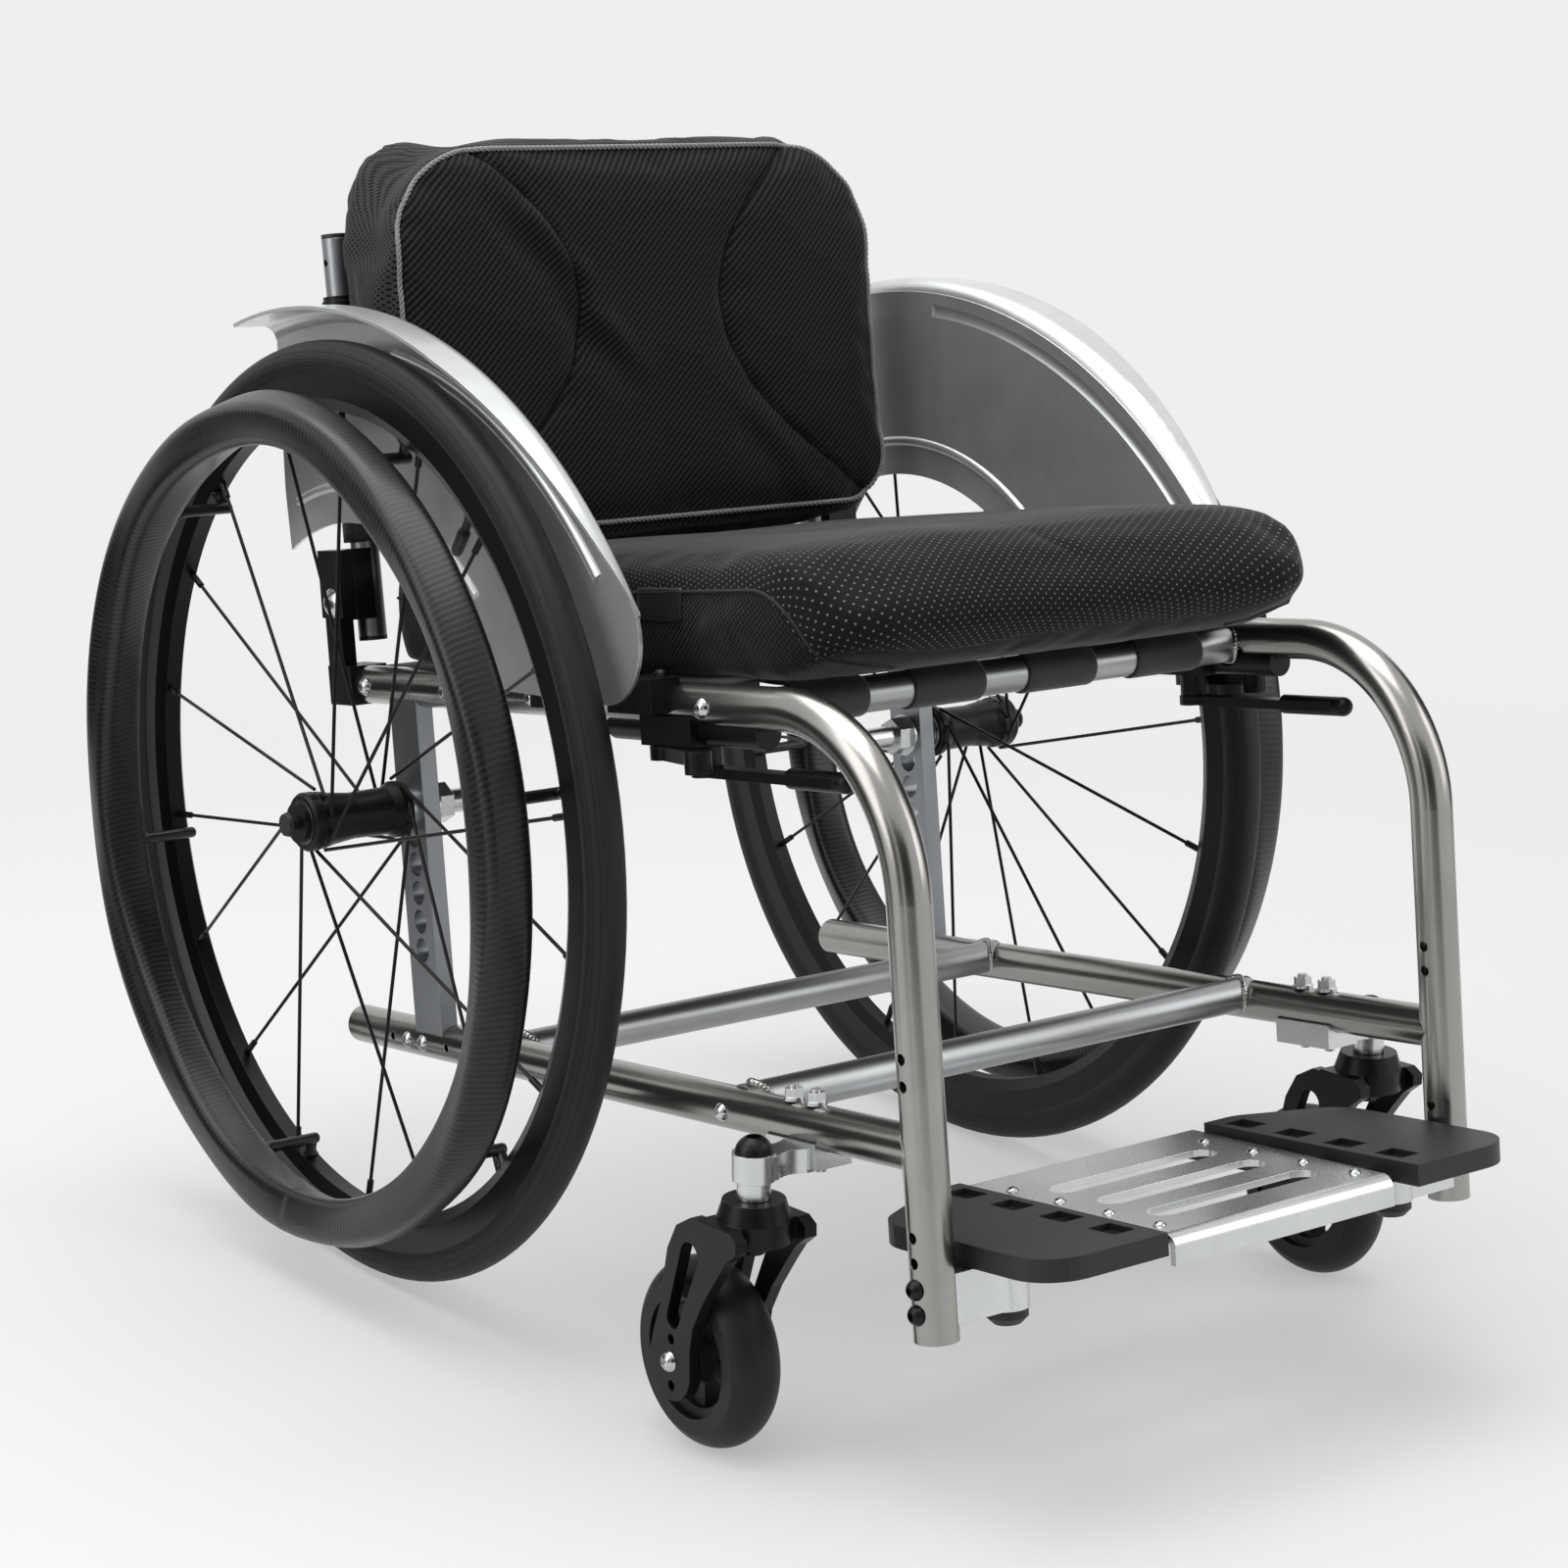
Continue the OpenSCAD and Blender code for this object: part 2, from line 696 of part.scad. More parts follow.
module caster_core(left) {
    w = caster_w / 2;
    color(black) at_caster(left) difference() {
        union() {
            rotate_extrude() polygon([[core_r - 9, -w * 0.6], [core_r, -w * 0.75], [core_r, w * 0.75],
                                      [core_r - 9, w * 0.6]]);
            translate([0, 0, -w]) cylinder(r = caster_bearing_r + 5, h = 2 * w);
            for (k = [0 : core_spokes - 1]) rotate([0, 0, k * 360 / core_spokes])
                translate([caster_bearing_r, -5, -w * 0.4])
                    cube([core_r - caster_bearing_r - 4, 10, w * 0.8]);
        }
        translate([0, 0, -w - 1]) cylinder(r = caster_bearing_r - 3, h = 2 * w + 2);
        for (z = [-w - 1, w - caster_bearing_w]) translate([0, 0, z])
            cylinder(r = caster_bearing_r, h = caster_bearing_w + 1);
    }
}

module caster_core_left() { caster_core(true); }
module caster_core_right() { caster_core(false); }

module caster_tyre(left) {
    w = caster_w / 2;
    color(rubber) at_caster(left) rotate_extrude() difference() {
        intersection() {
            translate([caster_r - w - 2, 0]) circle(r = w + 2);
            translate([0, -w]) square([caster_r, 2 * w]);
        }
        translate([0, -w * 0.75]) square([core_r, w * 1.5]);
        translate([0, -2 * w]) square([core_r - 4, 4 * w]);
    }
}

module caster_tyre_left() { caster_tyre(true); }
module caster_tyre_right() { caster_tyre(false); }

module caster_bearings(left) {
    w = caster_w / 2;
    color(alloy) at_caster(left) for (z = [-w, w - caster_bearing_w]) translate([0, 0, z]) difference() {
        cylinder(r = caster_bearing_r - run_gap, h = caster_bearing_w);
        translate([0, 0, -1]) cylinder(r = caster_axle_d / 2 + run_gap, h = caster_bearing_w + 2);
    }
}

module caster_bearings_left() { caster_bearings(true); }
module caster_bearings_right() { caster_bearings(false); }

// Seat: a sling between the rails, its webbing sleeves round the front cross tube, and the cushion

sling_t = 2;
sling_top = rail_z + tube_r;
sling_half_w = side_x - sqrt(tube_r * tube_r - pow(tube_r - sling_t, 2)) - soft_gap;
strap_count = 4;
strap_w = 54;
strap_pitch = 88;
strap_t = 1.6;

module seat_sling() {
    color(cloth) framed() box([-sling_half_w, seat_cross_y, sling_top - sling_t],
                              [sling_half_w, seat_rear - 4, sling_top]);
}

module sling_straps() {
    tail_top = sling_top - sling_t;
    color(black) framed() for (k = [0 : strap_count - 1]) {
        x = (k - (strap_count - 1) / 2) * strap_pitch - strap_w / 2;
        difference() {
            union() {
                rod_x(x, seat_cross_y, seat_cross_z, cross_r + strap_t, strap_w);
                box([x, seat_cross_y, seat_cross_z],
                    [x + strap_w, seat_cross_y + cross_r + strap_t, tail_top]);
            }
            rod_x(x - 1, seat_cross_y, seat_cross_z, cross_r + run_gap, strap_w + 2);
        }
    }
}

// A pad is two grids of points, one above the other, closed by a wall that is shaped half way up
pad_nu = 27;
pad_nv = 21;

// Point of a rounded rectangle that fills the square from -1 to 1
function pad_plan(u, v, a, b, r_low, r_high) =
    let (x = a * u, y = b * v, r = v < 0 ? r_low : r_high,
         cx = abs(x) - a + r, cy = abs(y) - b + r,
         inside = cx <= 0 || cy <= 0,
         pull = inside ? 1 : max(cx, cy) / norm([cx, cy]))
    inside ? [x, y] : [sign(x) * (a - r + cx * pull), sign(y) * (b - r + cy * pull)];

function pad_u(i) = 2 * i / (pad_nu - 1) - 1;
function pad_v(j) = 2 * j / (pad_nv - 1) - 1;
pad_size = pad_nu * pad_nv;
pad_loop = concat([for (i = [0 : pad_nu - 1]) i * pad_nv],
                  [for (j = [1 : pad_nv - 1]) (pad_nu - 1) * pad_nv + j],
                  [for (i = [pad_nu - 2 : -1 : 0]) i * pad_nv + pad_nv - 1],
                  [for (j = [pad_nv - 2 : -1 : 1]) j]);
pad_rim = len(pad_loop);

// Half way up, the wall stands out by three amounts: sideways, at the low Y end and at the high Y end
function pad_wall(points, out) =
    [for (k = [0 : pad_rim - 1])
     let (mid = (points[pad_loop[k]] + points[pad_size + pad_loop[k]]) / 2,
          wide = abs(points[pad_size][0]) + 30, long = abs(points[pad_size][1]) + 30,
          end = mid[1] < 0 ? out[1] : out[2])
     [mid[0] * (1 + out[0] / wide), mid[1] * (1 + end / long), mid[2]]];

pad_faces = concat(
    [for (i = [0 : pad_nu - 2]) for (j = [0 : pad_nv - 2]) for (half = [0, 1])
     let (a = i * pad_nv + j, b = a + 1, c = a + pad_nv + 1, d = a + pad_nv)
     half == 0 ? [a, b, c] : [a, c, d]],
    [for (i = [0 : pad_nu - 2]) for (j = [0 : pad_nv - 2]) for (half = [0, 1])
     let (a = pad_size + i * pad_nv + j, b = a + 1, c = a + pad_nv + 1, d = a + pad_nv)
     half == 0 ? [a, c, b] : [a, d, c]],
    [for (k = [0 : pad_rim - 1]) for (part = [0 : 3])
     let (n = (k + 1) % pad_rim, ta = pad_loop[k], tb = pad_loop[n],
          ma = 2 * pad_size + k, mb = 2 * pad_size + n, la = pad_size + ta, lb = pad_size + tb)
     part == 0 ? [ta, tb, mb] : part == 1 ? [ta, mb, ma] : part == 2 ? [ma, mb, lb] : [ma, lb, la]]);

module pad(upper, lower, out) {
    grids = concat(upper, lower);
    polyhedron(points = concat(grids, pad_wall(grids, out)), faces = pad_faces, convexity = 6);
}

// Rise of a crowned face, full in the middle and falling steeply to the edge
function crown(u, v) = (1 - pow(abs(u), 6)) * (1 - pow(abs(v), 6));

seat_mid_y = (seat_front + seat_rear) / 2;
seat_half_l = (seat_rear - seat_front) / 2;
seat_low = rail_z + tube_r + soft_gap;
// The front is a round nose: its top falls away under the knees, its wall bulges and its underside lifts
seat_fall = 28;
seat_knee = -0.72;
seat_bulge = 9;
seat_lift = 13;
seat_lift_from = -0.7;
// Corner radii of the cushion in plan, at the front and at the rear
seat_front_r = 48;
seat_rear_r = 24;
// The whole top slopes down to the rear, under the back cushion
seat_slope = 11;

function seat_top(u, v) =
    seat_edge_h + seat_crown * crown(u, v) - seat_slope * (v + 1) / 2
    - seat_fall * pow(max(0, seat_knee - v) / (1 + seat_knee), 2);

function seat_under(v) = seat_lift * pow(max(0, seat_lift_from - v) / (1 + seat_lift_from), 2);

module seat_cushion() {
    upper = [for (i = [0 : pad_nu - 1]) for (j = [0 : pad_nv - 1])
             let (u = pad_u(i), v = pad_v(j),
                  p = pad_plan(u, v, seat_half_w - 2, seat_half_l, seat_front_r, seat_rear_r))
             [p[0], p[1], seat_top(u, v)]];
    lower = [for (i = [0 : pad_nu - 1]) for (j = [0 : pad_nv - 1])
             let (v = pad_v(j),
                  p = pad_plan(pad_u(i), v, seat_half_w - 4, seat_half_l - 5, seat_front_r, seat_rear_r))
             [p[0], p[1] + 5, seat_under(v)]];
    color(cloth) framed() translate([0, seat_mid_y, seat_low]) pad(upper, lower, [3, seat_bulge, 0]);
}

// Back: hinge bases on the rail ends, clamps, posts, panel and cushion, leaning with the posts

back_lean = 1.5;
post_foot = 24;
clamp_y = 15;
clamp_up = 35;
clamp_down = 12;
back_low = 26;
back_panel_face = -21;
back_panel_t = 10;

// Children are drawn round the hinge, upright, and lean back with the posts
module at_back() {
    framed() translate([0, hinge_y, hinge_z]) rotate([-back_lean, 0, 0]) children();
}

module hinge_bases() {
    color(black) framed() both_sides() difference() {
        union() {
            box([side_x - tube_r, rail_rear, rail_z - 13], [hinge_out, hinge_y + 12, rail_z + 13]);
            rod_y(side_x, rail_rear - 28, rail_z, bore_r - run_gap, 30);
            box([hinge_in, hinge_y - 10, rail_z], [hinge_out, hinge_y + 10, hinge_z]);
            box([hinge_in, hinge_y - 14, hinge_z - 10], [hinge_out, hinge_y + 14, hinge_z + clamp_up]);
        }
        rod_x(hinge_in - 1, hinge_y, hinge_z, hinge_bolt_d / 2 + run_gap, 20);
        for (y = rail_screws)
            rod_x(side_x, y, rail_z, screw_d / 2 + hole_gap, tube_d);
    }
}

module back_posts() {
    color(alloy) at_back() both_sides() difference() {
        translate([back_post_x, 0, -post_foot]) cylinder(d = back_post_d, h = post_foot + back_post_up);
        translate([back_post_x, 0, -post_foot - 1])
            cylinder(d = back_post_d - 2 * tube_wall, h = post_foot + back_post_up + 2);
        rod_x(back_post_x, 0, back_post_up - 16, 2.5, back_post_d);
    }
}

module post_clamps() {
    outer = hinge_in - 0.3;
    color(black) at_back() both_sides() difference() {
        union() {
            box([back_post_x + 4, -clamp_y, -clamp_down], [outer, clamp_y, clamp_up]);
            for (z = [back_post_up - 62 : 8 : back_post_up - 46])
                translate([back_post_x, 0, z]) cylinder(d = back_post_d + 7, h = 5);
            translate([back_post_x, 0, back_post_up - 64]) cylinder(d = back_post_d + 5, h = 26);
        }
        translate([back_post_x, 0, -post_foot])
            cylinder(d = back_post_d + 2 * run_gap, h = back_post_up + 60);
        rod_x(back_post_x + back_post_d / 2, 0, 0, hinge_bolt_d / 2 + run_gap, 20);
    }
}

module post_caps() {
    color(black) at_back() both_sides() translate([back_post_x, 0, 0]) {
        translate([0, 0, back_post_up]) cylinder(d = back_post_d, h = 3);
        translate([0, 0, back_post_up - 8]) cylinder(d = back_post_d - 2 * tube_wall - 2 * run_gap, h = 9);
        translate([0, 0, -post_foot - 3]) cylinder(d = back_post_d, h = 3);
        translate([0, 0, -post_foot - 1]) cylinder(d = back_post_d - 2 * tube_wall - 2 * run_gap, h = 9);
    }
}

// Upholstery panel behind the cushion, with a sleeve round each post
module back_panel() {
    sleeve_low = clamp_up + 4;
    sleeve_high = back_post_up - 68;
    color(cloth) at_back() difference() {
        union() {
            box([-back_post_x, back_panel_face, sleeve_low],
                [back_post_x, back_panel_face + back_panel_t, sleeve_high]);
            both_sides() translate([back_post_x, 0, sleeve_low])
                cylinder(d = back_post_d + 8, h = sleeve_high - sleeve_low);
        }
        both_sides() translate([back_post_x, 0, 0])
            cylinder(d = back_post_d + 2 * soft_gap, h = back_post_up);
    }
}

back_half_h = back_h / 2;
// Two sewn channels curve in towards each other at the waist
seam_waist = 58;
seam_up = 20;
seam_flare = 0.0063;
seam_depth = 3.5;
seam_w = 11;

function seam_dip(x, z) =
    let (off = abs(x) - seam_waist - seam_flare * pow(z - seam_up, 2))
    seam_depth * exp(-pow(off / seam_w, 2));

function back_face(u, v, p) = back_t + back_crown * crown(u, v) - seam_dip(p[0], p[1]);

module back_cushion() {
    upper = [for (i = [0 : pad_nu - 1]) for (j = [0 : pad_nv - 1])
             let (p = pad_plan(pad_u(i), pad_v(j), back_half_w - 3, back_half_h - 3, 45, 78))
             [p[0], p[1], back_face(pad_u(i), pad_v(j), p)]];
    lower = [for (i = [0 : pad_nu - 1]) for (j = [0 : pad_nv - 1])
             let (p = pad_plan(pad_u(i), pad_v(j), back_half_w, back_half_h, 45, 78))
             [p[0], p[1], 0]];
    color(cloth) at_back() translate([0, back_panel_face - soft_gap, back_low + back_half_h])
        rotate([90, 0, 0]) pad(upper, lower, [-3, -3, -3]);
}

// Side guards: a sheet with a curved upper edge, an arch over the hub and a fender flange

guard_top = 2 * wheel_r + guard_rise;
guard_peak_y = 20;
guard_arc_r = 404;
// The sheet turns outboard over the tyre with this radius
guard_round = 12;
// The flange runs round this arc and narrows over its front part, down to the sheet's rolled edge
flange_start = 73;
flange_sweep = 69;
taper_runs = [0, 8, 20, 40, 70, 105, 141, 180, 215, 245];
guard_arch_y = 25;
guard_arch_r = 184;
// A pressed rib runs round the arch, and a groove inboard and a rib outboard follow the upper edge
guard_rib_r = 208;
guard_groove_r = 383;
// The sheet's front end is rounded below the flange
guard_end = [-253, 452];
guard_end_r = 40;
guard_tail = [128, 500];

// Outline of the guard sheet, Y to the right and Z up
module guard_outline() {
    difference() {
        intersection() {
            translate([guard_peak_y, guard_top - guard_arc_r]) circle(r = guard_arc_r - guard_round + 3);
            polygon(concat([[-330, 700], [200, 700], [guard_tail[0] + 8, 640], guard_tail,
                            [guard_tail[0] - 10, 440], [-150, 405]],
                           [for (a = [268 : -10 : 148]) guard_end + guard_end_r * [cos(a), sin(a)]]));
        }
        translate([guard_arch_y, wheel_r]) circle(r = guard_arch_r);
    }
}

// Section of the fender flange, radius to the right and outboard upwards: a round corner and a flat
module flange_profile() {
    difference() {
        union() {
            intersection() {
                translate([guard_arc_r - guard_round, guard_round]) circle(r = guard_round);
                translate([guard_arc_r - guard_round, 0]) square([guard_round, guard_round]);
            }
            translate([guard_arc_r - guard_round, guard_round])
                square([guard_round, guard_flange - guard_round]);
        }
        translate([guard_arc_r - guard_round, guard_round]) circle(r = guard_round - guard_t);
        translate([guard_arc_r - guard_round - 1, guard_round])
            square([guard_round - guard_t + 1, guard_flange]);
    }
}

// Width that the flange keeps at a distance back from its front end
function flange_keeps(run) = 3 + 22 * pow(run / 141, 0.6);

// A section swept round X, from an angle above the rear of the chair and on over the top
module guard_sweep(x, y, z, from, sweep) {
    translate([x, y, z]) rotate([90, 0, 90]) rotate([0, 0, from]) rotate_extrude(angle = sweep) children();
}

module guard(left) {
    color(silver_paint) standing() on_side(left) difference() {
        union() {
            translate([guard_x, 0, 0]) rotate([90, 0, 90]) linear_extrude(height = guard_t) guard_outline();
            guard_sweep(guard_x, guard_peak_y, guard_top - guard_arc_r, flange_start, flange_sweep)
                flange_profile();
            guard_sweep(guard_x + guard_t / 2, guard_arch_y, wheel_r, 66, 66)
                translate([guard_rib_r, 0]) circle(r = 3.5);
            guard_sweep(guard_x, guard_peak_y, guard_top - guard_arc_r, 96, 40) intersection() {
                translate([guard_groove_r - 7, guard_t - 2.4]) circle(r = 5);
                translate([guard_groove_r - 14, 1.2]) square([14, 8]);
            }
        }
        guard_sweep(guard_x, guard_peak_y, guard_top - guard_arc_r, 92, 48)
            translate([guard_groove_r, -7.6]) circle(r = 9);
        translate([guard_x, guard_peak_y, guard_top - guard_arc_r]) rotate([90, 0, 90])
            rotate([0, 0, flange_start + flange_sweep])
                translate([guard_arc_r - 110, 0, 0]) rotate([90, 0, 90]) linear_extrude(height = 125)
                    polygon(concat([for (run = taper_runs) [-guard_arc_r * sin(run / guard_arc_r * 180 / PI),
                                                            flange_keeps(run)]],
                                   [[-235, guard_flange + 9], [8, guard_flange + 9], [8, flange_keeps(0)]]));
    }
}

module guard_left() { guard(true); }
module guard_right() { guard(false); }

module guard_clamps() {
    color(black) framed() both_sides() difference() {
        union() {
            box([clamp_in, guard_bolt_ys[0] - 10, clamp_low], [guard_x, guard_bolt_ys[1] + 10, clamp_high]);
            box([clamp_in, guard_bolt_ys[2] - 10, clamp_low], [guard_x, guard_bolt_ys[2] + 10, clamp_high]);
        }
        rail_solid(tube_r + seat_gap);
        for (y = guard_bolt_ys)
            translate([side_x + 10, y, clamp_high - 9]) cylinder(d = 5 + 2 * hole_gap, h = 20);
    }
}

// Wheel locks under the rails: the arm swings out to the tyre, the lever below it works the arm

mount_low = rail_z - tube_r - 11;
// A round bar under the rail carries the clamp of the lock
bar_r = 9;
arm_t = 8;
arm_top = mount_low - 0.3;
arm_x = side_x + 6;
lever_x = side_x - 9;
lever_top = arm_top - arm_t - 5;
lever_t = 6;
pivot_r = 5;
// The pad stops this far from the tyre when the lock is on
pad_gap = 1;
pad_z = arm_top - arm_t / 2 - axle_z;
pad_y = axle_y - sqrt(pow(wheel_r + pad_r + pad_gap, 2) - pow(pad_z, 2)) - 1;
arm_pivot_y = pad_y + arm_behind;
arm_l = norm([wheel_x - arm_x, arm_behind]);
// At rest the arm points forward under the rail
arm_rest = atan2(-arm_behind, wheel_x - arm_x) - arm_swing;

module brake_mounts() {
    color(black) framed() both_sides() difference() {
        union() {
            box([side_x - 17, lever_pivot_y - 16, mount_low], [side_x + 13, arm_pivot_y + 16, rail_z - 6]);
            rod_y(side_x - 2, lever_pivot_y - 72, mount_low + bar_r, bar_r, 152);
            translate([arm_x, arm_pivot_y, arm_top - arm_t]) cylinder(r = pivot_r, h = arm_t + 2);
            translate([lever_x, lever_pivot_y, lever_top - lever_t])
                cylinder(r = pivot_r, h = mount_low - lever_top + lever_t + 1);
            translate([lever_x, lever_pivot_y, lever_top + 0.3]) cylinder(r = 9, h = mount_low - lever_top);
        }
        rail_solid(tube_r + seat_gap);
        rod_x(0, seat_cross_y, seat_cross_z, cross_r + strap_t + 1, side_x);
    }
}

module brake_arm(left) {
    color(black) framed() on_side(left)
    translate([arm_x, arm_pivot_y, arm_top - arm_t]) rotate([0, 0, arm_rest]) difference() {
        union() {
            cylinder(r = 10, h = arm_t);
            translate([0, -6, 0]) cube([arm_l, 12, arm_t]);
            translate([arm_l, 0, -5]) cylinder(r = pad_r, h = arm_t + 5);
        }
        translate([0, 0, -1]) cylinder(r = pivot_r + run_gap, h = arm_t + 2);
    }
}

module brake_arm_left() { brake_arm(true); }
module brake_arm_right() { brake_arm(false); }

module brake_lever(left) {
    color(black) framed() on_side(left)
    translate([lever_x, lever_pivot_y, lever_top - lever_t]) difference() {
        union() {
            cylinder(r = 10, h = lever_t);
            translate([-6, 14 - lever_l, 0]) cube([12, lever_l - 14, lever_t]);
            translate([0, -lever_l + 8, lever_t / 2]) rotate([-90, 0, 0]) cylinder(r = 6, h = 50);
            translate([0, -lever_l + 8, lever_t / 2]) sphere(r = 6);
        }
        translate([0, 0, -1]) cylinder(r = pivot_r + run_gap, h = lever_t + 2);
    }
}

module brake_lever_left() { brake_lever(true); }
module brake_lever_right() { brake_lever(false); }

// Footrest: two moulded side plates with tongues under a slotted panel, on brackets from the legs

tongue_t = 4;
tongue_w = 22;
tongue_in = foot_gap - 34;
tongue_ys = [for (k = [0 : 3]) foot_rear - 22 - k * 42];
panel_low = foot_low + tongue_t;
panel_top = panel_low + panel_t;
panel_rear_w = foot_gap - 2;
panel_front_w = foot_gap - 12;
panel_front = foot_front + 8;
panel_rear = foot_rear + 8;
lip_h = 18;
lip_r = 8;
panel_screw_x = tongue_in + 13;
bracket_x = 151;
bracket_r = 13;

module foot_outline() {
    difference() {
        hull() {
            translate([foot_gap, foot_front]) square([1, foot_rear - foot_front]);
            translate([foot_reach - 28, foot_front + 28]) circle(r = 28, $fn = 32);
            translate([foot_reach - 30, foot_rear - 52]) circle(r = 30, $fn = 32);
            translate([foot_gap + 20, foot_rear - 20]) circle(r = 20, $fn = 32);
        }
        translate([side_x, leg_y]) circle(r = tube_r + 3);
    }
}

module footplates() {
    color(black) framed() both_sides() difference() {
        union() {
            translate([0, 0, foot_low]) linear_extrude(height = foot_t) foot_outline();
            for (y = tongue_ys)
                box([tongue_in, y - tongue_w / 2, foot_low], [foot_gap + 1, y + tongue_w / 2, panel_low]);
        }
        for (y = tongue_ys)
            translate([foot_gap + 6, y - tongue_w / 2, foot_z - 4]) cube([16, tongue_w, 10]);
        for (y = tongue_ys)
            translate([panel_screw_x, y, foot_low - 1]) cylinder(d = 4 + 2 * hole_gap, h = foot_t);
    }
}

// Section of the panel, Y to the right and Z up: flat, then turned down at the front
module panel_section() {
    translate([panel_front + lip_r, panel_low]) square([panel_rear - panel_front - lip_r, panel_t]);
    translate([panel_front, panel_top - lip_h]) square([panel_t, lip_h - lip_r]);
    intersection() {
        translate([panel_front + lip_r, panel_top - lip_r]) difference() {
            circle(r = lip_r);
            circle(r = lip_r - panel_t);
        }
        translate([panel_front, panel_top - lip_r]) square([lip_r, lip_r]);
    }
}

module foot_panel() {
    slot_r = 10;
    slot_half = panel_screw_x - 22;
    color(alloy) framed() difference() {
        intersection() {
            translate([-foot_gap, 0, 0]) rotate([90, 0, 90])
                linear_extrude(height = 2 * foot_gap) panel_section();
            translate([0, 0, panel_top - lip_h - 1]) linear_extrude(height = lip_h + 2)
                polygon([[-panel_rear_w, panel_rear], [-panel_front_w, panel_front],
                         [panel_front_w, panel_front], [panel_rear_w, panel_rear]]);
        }
        for (k = [0 : 2]) {
            y = (tongue_ys[k] + tongue_ys[k + 1]) / 2;
            translate([-slot_half, y - slot_r, panel_low - 1])
                cube([2 * slot_half, 2 * slot_r, panel_t + 2]);
            for (s = [-1, 1])
                translate([s * slot_half, y, panel_low - 1]) cylinder(r = slot_r, h = panel_t + 2);
        }
        for (s = [-1, 1]) for (y = tongue_ys)
            translate([s * panel_screw_x, y, panel_low - 1])
                cylinder(d = 4 + 2 * hole_gap, h = panel_t + 2);
    }
}

module panel_screws() {
    color(alloy) framed() for (s = [-1, 1]) for (y = tongue_ys)
        translate([s * panel_screw_x, y, panel_top]) button_screw(8, 2.5, 4, panel_t + tongue_t - 1);
}

module foot_brackets() {
    color(alloy) framed() both_sides() difference() {
        union() {
            translate([bracket_x, leg_y, leg_bottom + 8])
                cylinder(r = bracket_r, h = foot_low - leg_bottom - 8);
            box([bracket_x, leg_y - 11, leg_bottom + 9], [side_x, leg_y + 11, foot_low - 0.5]);
        }
        leg_solid(tube_r + seat_gap);
        for (z = leg_bolt_zs)
            rod_x(side_x - 35, leg_y, z, leg_hole_d / 2, 40);
    }
}

module bracket_caps() {
    color(black) framed() both_sides() translate([bracket_x, leg_y, leg_bottom + 8]) rotate([180, 0, 0]) {
        cylinder(r = bracket_r - 1, h = 5);
        translate([0, 0, 5]) cylinder(r1 = bracket_r - 1, r2 = bracket_r - 5, h = 4);
    }
}

side_tube_left();
side_tube_right();
lower_tubes();
axle_posts();
lower_cross_tubes();
seat_cross_tube();
tube_plugs();
axle_receivers();
receiver_nuts();
quick_release_axles();
seat_sling();
sling_straps();
seat_cushion();
guard_left();
guard_right();
guard_clamps();
caster_arms();
kingpins();
frame_screws();
black_bolts();
footplates();
foot_panel();
panel_screws();
foot_brackets();
bracket_caps();
brake_mounts();
hinge_bases();
back_posts();
post_clamps();
post_caps();
back_panel();
back_cushion();
brake_lever_left();
brake_lever_right();
brake_arm_left();
brake_arm_right();
release_button_left();
release_button_right();
caster_fork_left();
caster_fork_right();
caster_axle_left();
caster_axle_right();
caster_core_left();
caster_core_right();
caster_tyre_left();
caster_tyre_right();
caster_bearings_left();
caster_bearings_right();
tyre_left();
tyre_right();
rim_left();
rim_right();
spokes_left();
spokes_right();
hub_left();
hub_right();
push_rim_left();
push_rim_right();
hub_bearings_left();
hub_bearings_right();
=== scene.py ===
# A sports wheelchair with a rigid titanium frame, a dotted seat cushion and a padded back that reclines.
import json
import math

import bmesh
import bpy
import numpy as np
from mathutils import Matrix, Vector, noise
from mathutils.bvhtree import BVHTree


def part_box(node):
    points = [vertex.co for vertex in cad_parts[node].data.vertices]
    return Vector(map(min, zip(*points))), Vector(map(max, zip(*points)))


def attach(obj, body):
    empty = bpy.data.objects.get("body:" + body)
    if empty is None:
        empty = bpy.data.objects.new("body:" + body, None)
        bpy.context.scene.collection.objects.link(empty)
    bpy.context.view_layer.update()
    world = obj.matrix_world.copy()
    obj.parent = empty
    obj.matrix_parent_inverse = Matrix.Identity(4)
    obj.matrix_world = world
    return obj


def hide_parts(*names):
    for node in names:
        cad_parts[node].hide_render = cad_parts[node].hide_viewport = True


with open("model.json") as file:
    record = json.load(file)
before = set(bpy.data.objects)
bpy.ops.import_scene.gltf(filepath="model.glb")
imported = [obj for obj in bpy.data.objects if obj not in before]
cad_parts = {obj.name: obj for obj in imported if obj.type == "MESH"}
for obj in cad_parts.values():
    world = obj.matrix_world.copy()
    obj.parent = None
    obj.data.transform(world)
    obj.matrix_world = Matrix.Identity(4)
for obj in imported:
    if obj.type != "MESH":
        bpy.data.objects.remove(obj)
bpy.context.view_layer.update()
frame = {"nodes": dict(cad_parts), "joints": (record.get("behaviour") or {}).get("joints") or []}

# The camera stands in front of the chair's right wheel, a little above the seat, at the photograph's angle.
# Its long lens takes in the whole chair, with no shift.
scene = bpy.context.scene
scene.view_settings.view_transform = "Standard"
camera_data = bpy.data.cameras.new("camera")
camera_data.lens = 77.58
camera_data.sensor_width = 36
camera = bpy.data.objects.new("camera", camera_data)
camera.location = (-1.2941, -1.7275, 0.7751)
camera.rotation_euler = Vector((0.5806, 0.7875, -0.2069)).to_track_quat("-Z", "Y").to_euler()
scene.collection.objects.link(camera)
scene.camera = camera


